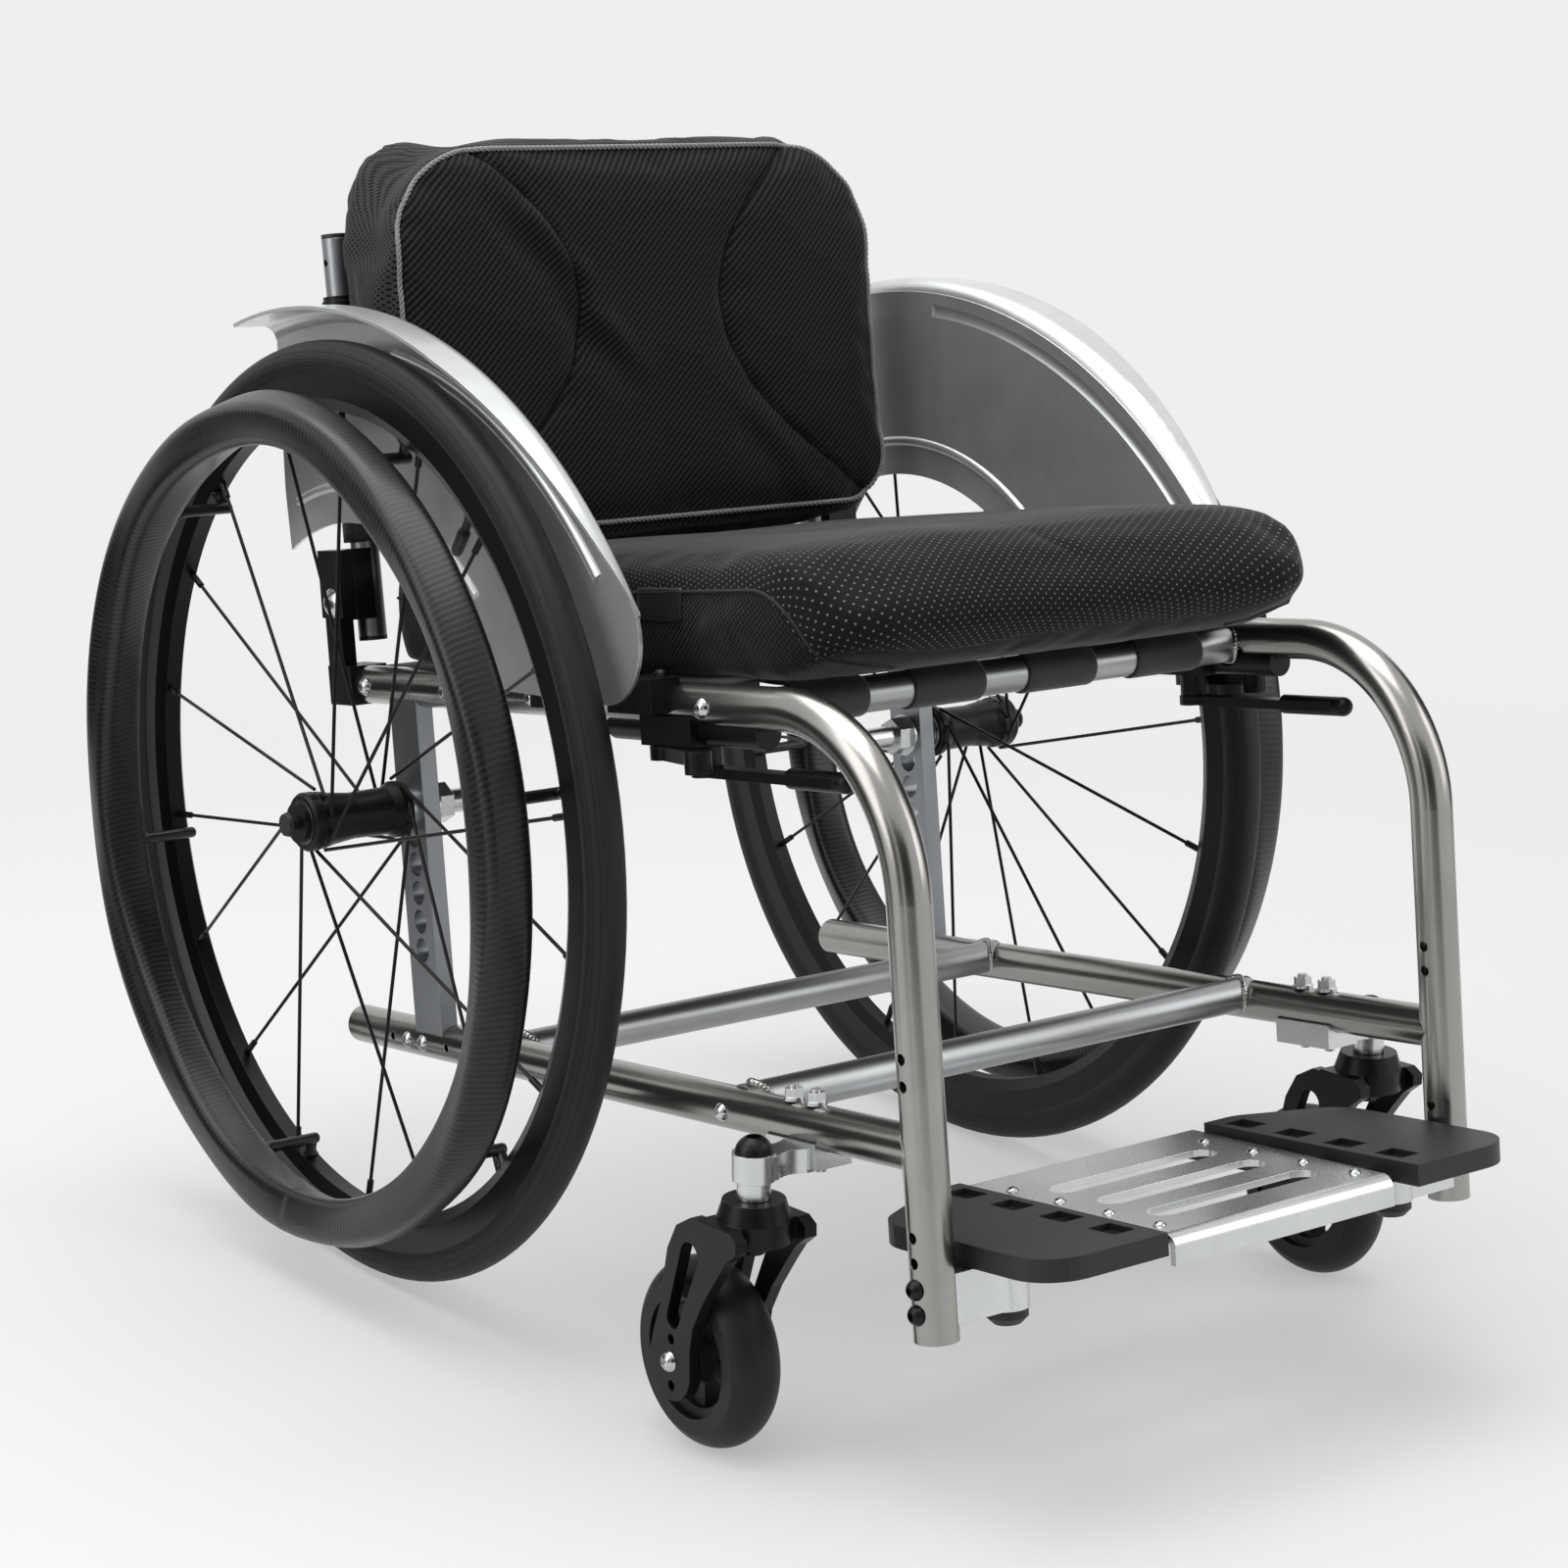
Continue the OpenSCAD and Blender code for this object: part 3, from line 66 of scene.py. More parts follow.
# The studio is a pale painted floor that fades into an equally pale surround, so no horizon shows.
# The floor keeps the chair's soft shadow near it, and the surround is what the metal mirrors.
floor_radius = 14.0
shadow_radius = 1.0
fade_radius = 2.6
floor_paint = "#EDEDED"
surround = "#EFEFEF"
surround_light = 0.45
least_glow = 0.46


def srgb(code):
    """An sRGB hex colour as linear red, green, blue and alpha."""
    parts = [int(code[k:k + 2], 16) / 255 for k in (1, 3, 5)]
    return [p / 12.92 if p <= 0.04045 else ((p + 0.055) / 1.055) ** 2.4 for p in parts] + [1]


def set_inputs(tree, node, inputs):
    """Gives a node its inputs: a node or a socket is linked to the input, and any other value is set."""
    for name, value in inputs.items():
        if isinstance(value, bpy.types.Node):
            value = value.outputs[0]
        if isinstance(value, bpy.types.NodeSocket):
            tree.links.new(value, node.inputs[name])
        else:
            node.inputs[name].default_value = value


def add_node(tree, kind, inputs=None, **properties):
    """Adds a shader node with its settings and links."""
    made = tree.nodes.new("ShaderNode" + kind)
    for name, value in properties.items():
        setattr(made, name, value)
    set_inputs(tree, made, inputs or {})
    return made


def new_material(name):
    """A material, its node tree and its surface shader."""
    made = bpy.data.materials.new(name)
    made.use_nodes = True
    return made, made.node_tree, made.node_tree.nodes["Principled BSDF"]


def seen_directly(tree):
    """1 for what the camera, a mirror or a clear surface sees, and 0 for light that only falls on things."""
    ray = add_node(tree, "LightPath").outputs
    mirrored = add_node(tree, "Math", {0: ray["Is Camera Ray"], 1: ray["Is Glossy Ray"]}, operation="MAXIMUM")
    return add_node(tree, "Math", {0: mirrored, 1: ray["Is Transmission Ray"]}, operation="MAXIMUM")


world = bpy.data.worlds.new("studio_surround")
world.use_nodes = True
tree = world.node_tree
strength = add_node(tree, "MapRange", {"Value": seen_directly(tree), "To Min": surround_light, "To Max": 1.0})
set_inputs(tree, tree.nodes["Background"], {"Color": srgb(surround), "Strength": strength})
scene.world = world

floor_mesh = bpy.data.meshes.new("floor")
shape = bmesh.new()
bmesh.ops.create_circle(shape, cap_ends=True, segments=96, radius=floor_radius)
shape.to_mesh(floor_mesh)
shape.free()
floor = bpy.data.objects.new("floor", floor_mesh)
scene.collection.objects.link(floor)

painted_floor, tree, shader = new_material("matt_painted_floor")
set_inputs(tree, shader, {"Base Color": srgb(floor_paint), "Roughness": 0.7, "Specular IOR Level": 0.2})
place = add_node(tree, "TexCoord").outputs["Object"]
from_chair = add_node(tree, "VectorMath", {0: place}, operation="LENGTH").outputs["Value"]
fade = add_node(
    tree,
    "MapRange",
    {"Value": from_chair, "From Min": shadow_radius, "From Max": fade_radius, "To Min": least_glow},
    interpolation_type="SMOOTHSTEP",
)
faded = add_node(tree, "Math", {0: fade, 1: seen_directly(tree)}, operation="MULTIPLY")
glow = add_node(tree, "Emission", {"Color": srgb(surround), "Strength": 1.0})
blend = add_node(tree, "MixShader", {0: faded, 1: shader, 2: glow})
set_inputs(tree, tree.nodes["Material Output"], {"Surface": blend})
floor_mesh.materials.append(painted_floor)

# Three large softboxes light the chair: one overhead and one on each side, as in a catalogue studio.
# Dark flags round the chair show only in mirrored metal, where they give the tubes their dark bands.
chair_middle = Vector((0.0, 0.0, 0.42))
softboxes = {
    "overhead_softbox": ((-0.3, 0.45, 3.3), 3.2, 3.2, 92),
    "left_softbox": ((-2.3, 0.15, 1.5), 1.3, 2.0, 18),
    "right_softbox": ((1.9, -1.9, 1.6), 1.2, 2.0, 14),
}
flags = {
    "camera_flag": ((-1.75, -2.9, 1.0), 2.6, 2.6),
    "right_flag": ((2.7, -0.2, 0.9), 1.6, 2.4),
    "left_flag": ((-2.9, -1.1, 0.5), 1.0, 2.2),
    "rear_flag": ((-0.95, 0.75, 0.3), 1.1, 0.6),
}
card_corners = ((-0.5, -0.5), (0.5, -0.5), (0.5, 0.5), (-0.5, 0.5))


def stand(thing, spot):
    """Stands a lamp or a card at a spot, turned to the chair's middle."""
    thing.location = spot
    thing.rotation_euler = (chair_middle - Vector(spot)).to_track_quat("-Z", "Y").to_euler()
    scene.collection.objects.link(thing)


for name, (spot, width, height, watts) in softboxes.items():
    lamp = bpy.data.lights.new(name, "AREA")
    lamp.shape = "RECTANGLE"
    lamp.size = width
    lamp.size_y = height
    lamp.energy = watts
    stand(bpy.data.objects.new(name, lamp), spot)

flag_felt, tree, shader = new_material("black_felt")
set_inputs(tree, shader, {"Base Color": srgb("#0A0A0A"), "Roughness": 1.0})
for name, (spot, width, height) in flags.items():
    card_mesh = bpy.data.meshes.new(name)
    card_mesh.from_pydata([(x * width, y * height, 0) for x, y in card_corners], [], [(0, 1, 2, 3)])
    card_mesh.materials.append(flag_felt)
    card = bpy.data.objects.new(name, card_mesh)
    stand(card, spot)
    card.visible_camera = False
    card.visible_diffuse = False
    card.visible_shadow = False


# The frame is bent and welded from titanium tube, left bare and brushed by hand.
# It has a plain mid grey colour, fine scratches and a silky gloss.
mm = 0.001
drift_size = 45


def hard_finish(name, dark, light, metallic, rough, spread, grain, relief, wear_and_edge_highlight, edge=0.5, sockets=None):
    """A hard surface: two shades that drift, roughness and its spread, a grain and its relief in mm,
    the paler shade painted on the edges as wear and as a painted highlight, and the radius in mm that rounds
    them."""
    made, tree, shader = new_material(name)
    place = add_node(tree, "TexCoord").outputs["Object"]
    drift = add_node(
        tree, "TexNoise", {"Vector": place, "Scale": 1 / (drift_size * mm), "Detail": 4, "Roughness": 0.6}
    )
    fine = add_node(tree, "TexNoise", {"Vector": place, "Scale": 1 / (grain * mm), "Detail": 3})
    tint = add_node(tree, "Mix", {0: drift, 6: srgb(dark), 7: srgb(light)}, data_type="RGBA")
    rounded = add_node(tree, "Bevel", {"Radius": edge * mm}, samples=4)
    flat = add_node(tree, "NewGeometry").outputs["Normal"]
    bent = add_node(tree, "VectorMath", {0: rounded, 1: flat}, operation="DOT_PRODUCT").outputs["Value"]
    # The edges are painted paler in patches, partly as wear and partly as a painted highlight where a rounded
    # edge catches the light.
    edge_wear_and_highlight = add_node(tree, "MapRange", {"Value": bent, "From Min": 0.985, "From Max": 0.86})
    patchy_edge_wear_and_highlight = add_node(tree, "Math", {0: edge_wear_and_highlight, 1: drift}, operation="MULTIPLY")
    colour = add_node(tree, "Mix", {0: patchy_edge_wear_and_highlight, 6: tint.outputs[2], 7: srgb(wear_and_edge_highlight)}, data_type="RGBA")
    gloss = add_node(tree, "MapRange", {"Value": fine, "To Min": rough - spread, "To Max": rough + spread})
    pits = {"Strength": 0.6, "Distance": relief * mm, "Height": fine, "Normal": rounded}
    bump = add_node(tree, "Bump", pits)
    set_inputs(tree, shader, {"Base Color": colour.outputs[2], "Roughness": gloss, "Normal": bump})
    set_inputs(tree, shader, {"Metallic": metallic, **(sockets or {})})
    return made


def coat_nodes(finish, *names):
    """Gives CAD nodes their finish."""
    for name in names:
        for slot in frame["nodes"][name].material_slots:
            slot.material = finish


def both(name):
    """A node's name on the left and on the right."""
    return [name + "_left", name + "_right"]


brushed_titanium = hard_finish(
    "brushed_titanium", "#95938F", "#ABA9A4", 1, 0.24, 0.07, 0.7, 0.012, "#C8C6C1"
)
coat_nodes(brushed_titanium, *both("side_tube"), "lower_tubes")

# The axle posts and the back posts are drawn aluminium, anodised a plain grey once their holes are drilled.
# The dull oxide skin softens what it mirrors.
grey_aluminium = hard_finish(
    "grey_anodised_aluminium", "#8B8E92", "#9DA0A4", 1, 0.38, 0.06, 0.5, 0.01, "#C4C6C8"
)
coat_nodes(grey_aluminium, "axle_posts", "back_posts")

# The cross tubes are thin drawn tube, welded in and left with the dull satin skin of the mill.
# They are paler and softer than the brushed tubes beside them.
satin_aluminium = hard_finish("satin_aluminium", "#9C9EA0", "#B4B6B7", 1, 0.38, 0.07, 0.6, 0.01, "#E4E4E4")
coat_nodes(satin_aluminium, "lower_cross_tubes", "seat_cross_tube")

# The foot panel is pressed from sheet, and the caster arms, brackets and receivers are milled from bar.
# Bare and bright, they are the lightest metal on the chair.
milled_aluminium = hard_finish(
    "bright_milled_aluminium", "#C2C4C5", "#DCDEDF", 1, 0.27, 0.07, 0.6, 0.01, "#F0F0F0"
)
coat_nodes(milled_aluminium, "axle_receivers", "receiver_nuts", "caster_arms", "foot_panel", "foot_brackets")

# Screws, axles and bearings are bright steel, turned and lightly polished.
# Small, hard highlights set them apart from the aluminium around them.
bright_steel = hard_finish("polished_steel", "#B4B6B9", "#C9CBCD", 1, 0.2, 0.05, 0.4, 0.006, "#F0F0F0", 0.3)
coat_nodes(bright_steel, "frame_screws", "panel_screws")
coat_nodes(bright_steel, *both("caster_axle"), *both("caster_bearings"), *both("hub_bearings"))

# Kingpins, quick release axles, black bolts and spokes are blackened steel with a thin oiled oxide.
# It is nearly black, with a soft grey gleam along each wire.
black_steel = hard_finish(
    "blackened_steel", "#141415", "#1E1E20", 0.6, 0.36, 0.06, 0.5, 0.006, "#4A4A4C", 0.3
)
coat_nodes(black_steel, "kingpins", "quick_release_axles", "black_bolts", *both("spokes"))

# Brakes, hinges, clamps, forks, rims and hubs are milled aluminium, bead blasted and anodised black.
# The blast leaves a fine even grain, and the edges are painted grey, partly as rubbed wear and partly as a
# painted highlight.
black_anodised = hard_finish(
    "black_anodised_aluminium", "#0E0F10", "#151618", 0.35, 0.36, 0.07, 0.45, 0.012, "#505153", 0.5,
    {"Specular IOR Level": 0.3},
)
coat_nodes(black_anodised, "guard_clamps", "brake_mounts", "hinge_bases", "post_clamps")
coat_nodes(black_anodised, *both("brake_lever"), *both("brake_arm"), *both("caster_fork"))
coat_nodes(black_anodised, *both("rim"), *both("hub"))

# Footplates, caps, plugs, release buttons and caster cores are moulded from filled nylon.
# The mould's spark texture gives a grey satin surface with fine pits.
moulded_nylon = hard_finish(
    "moulded_nylon", "#1C1C1D", "#262627", 0, 0.46, 0.08, 0.9, 0.03, "#3A3A3C", 0.7,
    {"Specular IOR Level": 0.4},
)
coat_nodes(moulded_nylon, "tube_plugs", "footplates", "bracket_caps", "post_caps")
coat_nodes(moulded_nylon, *both("release_button"), *both("caster_core"))

# The side guards are pressed composite, sprayed with silver metallic paint under a clear coat.
# Tiny flakes sparkle in it, and the bright fender edge mirrors the softboxes.
flake_size = 0.9
silver_paint = hard_finish(
    "silver_metallic_paint", "#BEC0C2", "#E2E4E5", 0.72, 0.32, 0.1, flake_size, 0.02, "#E8E8E8", 0.6,
    {"Coat Weight": 0.5, "Coat Roughness": 0.12},
)
coat_nodes(silver_paint, *both("guard"))

# The big tyres are slick clinchers of black rubber with a few fine rings moulded into each shoulder.
# Dust and flex leave the rubber a matt charcoal that is paler on the tread.
joints = {joint["name"]: joint for joint in frame["joints"]}
wheel_centre = Vector(joints["wheel_spin_left"]["pos_m"])
tyre_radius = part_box("tyre_left")[1].z - wheel_centre.z
groove_pitch = 4.5 * mm
groove_deep = 0.6 * mm


def wave_along(tree, distance, pitch):
    """A cosine wave along a distance, with a crest at every pitch."""
    angle = add_node(tree, "Math", {0: distance, 1: math.tau / pitch}, operation="MULTIPLY")
    return add_node(tree, "Math", {0: angle}, operation="COSINE")


tyre_rubber, tree, shader = new_material("slick_tyre_rubber")
place = add_node(tree, "TexCoord").outputs["Object"]
x, y, z = add_node(tree, "SeparateXYZ", {0: place}).outputs
forward = add_node(tree, "Math", {0: y, 1: wheel_centre.y}, operation="SUBTRACT")
upward = add_node(tree, "Math", {0: z, 1: wheel_centre.z}, operation="SUBTRACT")
flat_spot = add_node(tree, "CombineXYZ", {"X": forward, "Y": upward})
radius = add_node(tree, "VectorMath", {0: flat_spot}, operation="LENGTH").outputs["Value"]
ripple = wave_along(tree, radius, groove_pitch)
groove = add_node(
    tree, "MapRange", {"Value": ripple, "From Min": 0.72, "From Max": 0.95}, interpolation_type="SMOOTHSTEP"
)
tread_edge = {"Value": radius, "From Min": tyre_radius - 4 * mm, "From Max": tyre_radius - 1 * mm}
tread = add_node(tree, "MapRange", tread_edge)
on_side = add_node(tree, "Math", {0: 1.0, 1: tread}, operation="SUBTRACT")
ring = add_node(tree, "Math", {0: groove, 1: on_side}, operation="MULTIPLY")
dust = add_node(tree, "TexNoise", {"Vector": place, "Scale": 1 / (12 * mm), "Detail": 6, "Roughness": 0.7})
pale = add_node(tree, "Math", {0: dust, 1: tread, 2: 0.15}, operation="MULTIPLY_ADD")
colour = add_node(tree, "Mix", {0: pale, 6: srgb("#101011"), 7: srgb("#252526")}, data_type="RGBA")
gloss = add_node(tree, "MapRange", {"Value": dust, "To Min": 0.46, "To Max": 0.66})
pores = add_node(tree, "TexNoise", {"Vector": place, "Scale": 1 / (0.8 * mm), "Detail": 3})
pitted = add_node(tree, "Math", {0: pores, 1: 0.12}, operation="MULTIPLY")
height = add_node(tree, "Math", {0: pitted, 1: ring}, operation="SUBTRACT")
bump = add_node(tree, "Bump", {"Strength": 0.9, "Distance": groove_deep, "Height": height})
set_inputs(tree, shader, {"Base Color": colour.outputs[2], "Roughness": gloss, "Normal": bump})
set_inputs(tree, shader, {"Specular IOR Level": 0.3})
coat_nodes(tyre_rubber, *both("tyre"))

# The caster tyres are cast polyurethane rubber bonded to their cores.
# They are smoother than the big tyres, with a soft gleam and a little floor dust.
caster_rubber = hard_finish(
    "cast_rubber", "#121213", "#1B1B1C", 0, 0.48, 0.1, 1.2, 0.02, "#222223", 0.4, {"Specular IOR Level": 0.3}
)
coat_nodes(caster_rubber, *both("caster_tyre"))

# The push rims are moulded carbon, a broad oval that rolls in and out six times a turn for the fingers' grip.
# Fine ridges cross the outer face under a satin lacquer. Six legs hold the rim off the wheel.
hand_r = 257
hand_out = 48
hand_tall = 30
hand_wide = 32
hand_waves = 6
hand_wave = 1.5
hand_tilt = math.radians(8)
hand_roll = math.radians(13)
section_round = 0.52
section_girth = 100
roll_lag = 0.8
leg_ring = 248
leg_r = 3.8
leg_turn = math.radians(17)
leg_profile = ((-5, 0.55), (-4.2, 0.86), (-2.6, 1.0), (24, 1.0), (30, 1.1), (38, 1.5))
lug_half_wide = 3
lug_half_deep = 4
lug_profile = ((0, 1.0), (8.2, 1.0), (10.7, 1.25), (12.2, 1.6))
ridge_pitch = 4.0 * mm
ridge_slant = 0.22
outward = {"left": 1, "right": -1}

ridged_carbon, tree, shader = new_material("satin_ridged_carbon")
laid = add_node(tree, "Attribute", attribute_name="laid").outputs["Vector"]
round_rim, round_section = add_node(tree, "SeparateXYZ", {0: laid}).outputs[:2]
slanted = add_node(tree, "Math", {0: round_section, 1: ridge_slant, 2: round_rim}, operation="MULTIPLY_ADD")
crest = wave_along(tree, slanted, ridge_pitch)
ridge = add_node(
    tree, "MapRange", {"Value": crest, "From Min": -0.6, "From Max": 0.8}, interpolation_type="SMOOTHSTEP"
)
place = add_node(tree, "TexCoord").outputs["Object"]
rubs = add_node(tree, "TexNoise", {"Vector": place, "Scale": 1 / (25 * mm), "Detail": 5, "Roughness": 0.65})
shade = add_node(tree, "Math", {0: ridge, 1: rubs}, operation="MULTIPLY")
colour = add_node(tree, "Mix", {0: shade, 6: srgb("#0C0D0E"), 7: srgb("#28292B")}, data_type="RGBA")
gloss = add_node(tree, "MapRange", {"Value": rubs, "To Min": 0.3, "To Max": 0.46})
bump = add_node(tree, "Bump", {"Strength": 0.5, "Distance": 0.16 * mm, "Height": ridge})
set_inputs(tree, shader, {"Base Color": colour.outputs[2], "Roughness": gloss, "Normal": bump})
set_inputs(tree, shader, {"Specular IOR Level": 0.3, "Coat Weight": 0.2, "Coat Roughness": 0.25})


def dress(piece, material, body):
    """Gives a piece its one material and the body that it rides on."""
    piece.data.materials.clear()
    piece.data.materials.append(material)
    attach(piece, body)


def finish_piece(name, shape, material, body):
    """Makes a smooth, dressed object of a bmesh in the CAD frame."""
    bmesh.ops.recalc_face_normals(shape, faces=shape.faces)
    mesh = bpy.data.meshes.new(name)
    shape.to_mesh(mesh)
    shape.free()
    mesh.shade_smooth()
    piece = bpy.data.objects.new(name, mesh)
    scene.collection.objects.link(piece)
    dress(piece, material, body)
    return piece


def loft(shape, rings, ends):
    """Joins rings of points with faces. The end rings are joined to each other, capped or left open."""
    made = [[shape.verts.new(point) for point in ring] for ring in rings]
    for ring, after in zip(made, made[1:] + made[:1] if ends == "joined" else made[1:]):
        for k in range(len(ring)):
            following = (k + 1) % len(ring)
            shape.faces.new((ring[k], ring[following], after[following], after[k]))
    if ends == "capped":
        shape.faces.new(list(reversed(made[0])))
        shape.faces.new(made[-1])
    return made


def on_wheel(side, turn, out, radial, sideways=0.0):
    """A point so many mm outboard and so many from a wheel's axle, with turn 0 straight down."""
    along = radial * math.sin(turn) + sideways * math.cos(turn)
    down = radial * math.cos(turn) - sideways * math.sin(turn)
    return Vector(joints["wheel_spin_" + side]["pos_m"]) + Vector((outward[side] * out, along, -down)) * mm


def oval_ring(side, turn, out, radial, half_out, half_radial, half_wide):
    """16 points round a spot on a wheel, at these half widths from it."""
    ring = []
    for k in range(16):
        angle = math.tau * k / 16
        swing = math.cos(angle)
        sideways = half_wide * math.sin(angle)
        ring.append(on_wheel(side, turn, out + half_out * swing, radial + half_radial * swing, sideways))
    return ring


def blunted(wave):
    """A sine or cosine that is drawn out towards the corners of a rounded oblong."""
    return math.copysign(abs(wave) ** section_round, wave)


for side in outward:
    shape = bmesh.new()
    layer = shape.verts.layers.float_vector.new("laid")
    turns, rounds = 288, 40
    rings = []
    for i in range(turns):
        turn = math.tau * i / turns
        grip = hand_r + hand_wave * math.cos(hand_waves * turn)
        tilt = hand_tilt + hand_roll * math.cos(hand_waves * turn + roll_lag)
        ring = []
        for k in range(rounds):
            angle = math.tau * k / rounds
            wide = hand_wide / 2 * blunted(math.cos(angle))
            tall = hand_tall / 2 * blunted(math.sin(angle))
            radial = grip + tall * math.cos(tilt) - wide * math.sin(tilt)
            out = hand_out + wide * math.cos(tilt) + tall * math.sin(tilt)
            ring.append(on_wheel(side, turn, out, radial))
        rings.append(ring)
    for i, ring in enumerate(loft(shape, rings, "joined")):
        for k, corner in enumerate(ring):
            corner[layer] = (hand_r * mm * math.tau * i / turns, section_girth * mm * k / rounds, 0)
    for k in range(hand_waves):
        turn = leg_turn + math.tau * k / hand_waves
        leg = []
        for out, swell in leg_profile:
            leg.append(oval_ring(side, turn, out, leg_ring, 0, leg_r * swell, leg_r * swell))
        loft(shape, leg, "capped")
        lug = []
        for rise, flare in lug_profile:
            deep, wide = lug_half_deep * flare, lug_half_wide * flare
            lug.append(oval_ring(side, turn, 0, leg_ring + rise, deep, 0, wide))
        loft(shape, lug, "capped")
    hand_rim = finish_piece("carbon_push_rim_" + side, shape, ridged_carbon, "wheel_" + side)
    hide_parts("push_rim_" + side)

# Each rim has one tyre valve: a brass stem in black rubber with a knurled plastic cap, pointing at the hub.
# On the right wheel it stands ahead of the hub and above it.
valve_turn = {"left": math.radians(-200), "right": math.radians(-144.4)}
valve_profile = (
    (262, 3.6), (258, 3.4), (252, 2.8), (246, 2.6),
    (245.5, 3.6), (243, 3.9), (230, 3.6), (227, 2.4), (226, 0.6),
)
cap_from = 246
knurls = 12
knurl_deep = 0.2
for side, turn in valve_turn.items():
    shape = bmesh.new()
    rings = []
    for radial, half in valve_profile:
        ring = []
        for k in range(4 * knurls):
            angle = math.tau * k / (4 * knurls)
            reach = half + (knurl_deep * math.cos(knurls * angle) if radial < cap_from else 0)
            ring.append(on_wheel(side, turn, reach * math.sin(angle), radial, reach * math.cos(angle)))
        rings.append(ring)
    loft(shape, rings, "capped")
    finish_piece("tyre_valve_" + side, shape, moulded_nylon, "wheel_" + side)

# Weld beads join the cross tubes to the side frames. Each is a ring of small overlapping ripples of filler.
# They are a touch brighter than the brushed tube beside them.
pitch = math.atan2(joints["brake_lever_left"]["axis"][1], joints["brake_lever_left"]["axis"][2])
# The frame is measured with its rails level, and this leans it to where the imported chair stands.
level_to_row = Matrix.Translation((0, wheel_centre.y, 0)) @ Matrix.Rotation(-pitch, 4, "X")
side_x = 201
tube_r = 12.7
cross_r = 11
rail_z = 380.04
bead_r = 1.7
bead_lift = 0.4
bead_sink = 0.6
bead_swell = 0.22
ripples = 34
welded_tubes = ((-120, 149), (-375, 149), (-383, rail_z - 4))
weld_metal = hard_finish("titanium_weld_bead", "#ABA9A5", "#C0BEB9", 1, 0.22, 0.06, 0.8, 0.01, "#DEDCD8")
shape = bmesh.new()
for sign in (1, -1):
    for y, z in welded_tubes:
        rings = []
        for i in range(4 * ripples):
            turn = math.tau * i / (4 * ripples)
            fat = bead_r * (1 + bead_swell * abs(math.cos(ripples * turn / 2)))
            saddle = tube_r - math.sqrt(tube_r ** 2 - (cross_r * math.sin(turn)) ** 2)
            ring = []
            for k in range(10):
                angle = math.tau * k / 10
                radial = cross_r + bead_lift + fat * math.cos(angle)
                inward = side_x - tube_r + saddle - bead_sink + fat * math.sin(angle)
                spot = (sign * inward, y + radial * math.cos(turn), z + radial * math.sin(turn))
                ring.append(level_to_row @ (Vector(spot) * mm))
            rings.append(ring)
        loft(shape, rings, "joined")
finish_piece("weld_beads", shape, weld_metal, "frame")

# The sling is a sheet of black nylon stretched between the rails under the cushion.
# Four webbing straps at its front edge wrap round the seat cross tube and are sewn back on themselves.
sling_half = 193.5
sling_front = -383
sling_rear = 16
sling_z = 391.7
sling_thick = 1.4
sling_wave = 0.35
thread = 1.4 * mm

woven_nylon, tree, shader = new_material("woven_black_nylon")
place = add_node(tree, "TexCoord").outputs["Object"]
threads = {"Vector": place, "Scale": math.pi / (20 * thread), "Distortion": 0.4}
warp = add_node(tree, "TexWave", threads, bands_direction="X").outputs[1]
weft = add_node(tree, "TexWave", threads, bands_direction="DIAGONAL").outputs[1]
weave = add_node(tree, "Math", {0: warp, 1: weft}, operation="MULTIPLY")
wear_and_edge_highlight = add_node(tree, "TexNoise", {"Vector": place, "Scale": 1 / (30 * mm), "Detail": 5})
shade = add_node(tree, "Math", {0: weave, 1: wear_and_edge_highlight}, operation="MULTIPLY")
colour = add_node(tree, "Mix", {0: shade, 6: srgb("#0F0F10"), 7: srgb("#3A3A3C")}, data_type="RGBA")
bump = add_node(tree, "Bump", {"Strength": 0.5, "Distance": 0.3 * mm, "Height": weave})
set_inputs(tree, shader, {"Base Color": colour.outputs[2], "Roughness": 0.72, "Normal": bump})
set_inputs(tree, shader, {"Sheen Weight": 0.25, "Sheen Roughness": 0.45})


def lay_grid(shape, columns, rows, place_corner):
    """Faces over a grid of corners, each placed by its shares of the way across and along."""
    grid = []
    for j in range(rows + 1):
        grid.append([shape.verts.new(place_corner(i / columns, j / rows)) for i in range(columns + 1)])
    for line, after in zip(grid, grid[1:]):
        for i in range(columns):
            shape.faces.new((line[i], line[i + 1], after[i + 1], after[i]))


def thicken(piece, thickness):
    """Gives a sheet its thickness, half to each side."""
    cloth = piece.modifiers.new("cloth_thickness", "SOLIDIFY")
    cloth.thickness = thickness * mm
    cloth.offset = 0


def sling_corner(across, along):
    """A corner of the sling, which hangs in shallow waves between the rails."""
    x = sling_half * (2 * across - 1)
    y = sling_front + (sling_rear - sling_front) * along
    hang = sling_wave * math.cos(math.pi * x / (2 * sling_half)) * math.sin(6 * math.pi * along)
    return level_to_row @ (Vector((x, y, sling_z + hang)) * mm)


shape = bmesh.new()
lay_grid(shape, 48, 48, sling_corner)
sling = finish_piece("nylon_seat_sling", shape, woven_nylon, "frame")
thicken(sling, sling_thick)
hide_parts("seat_sling")

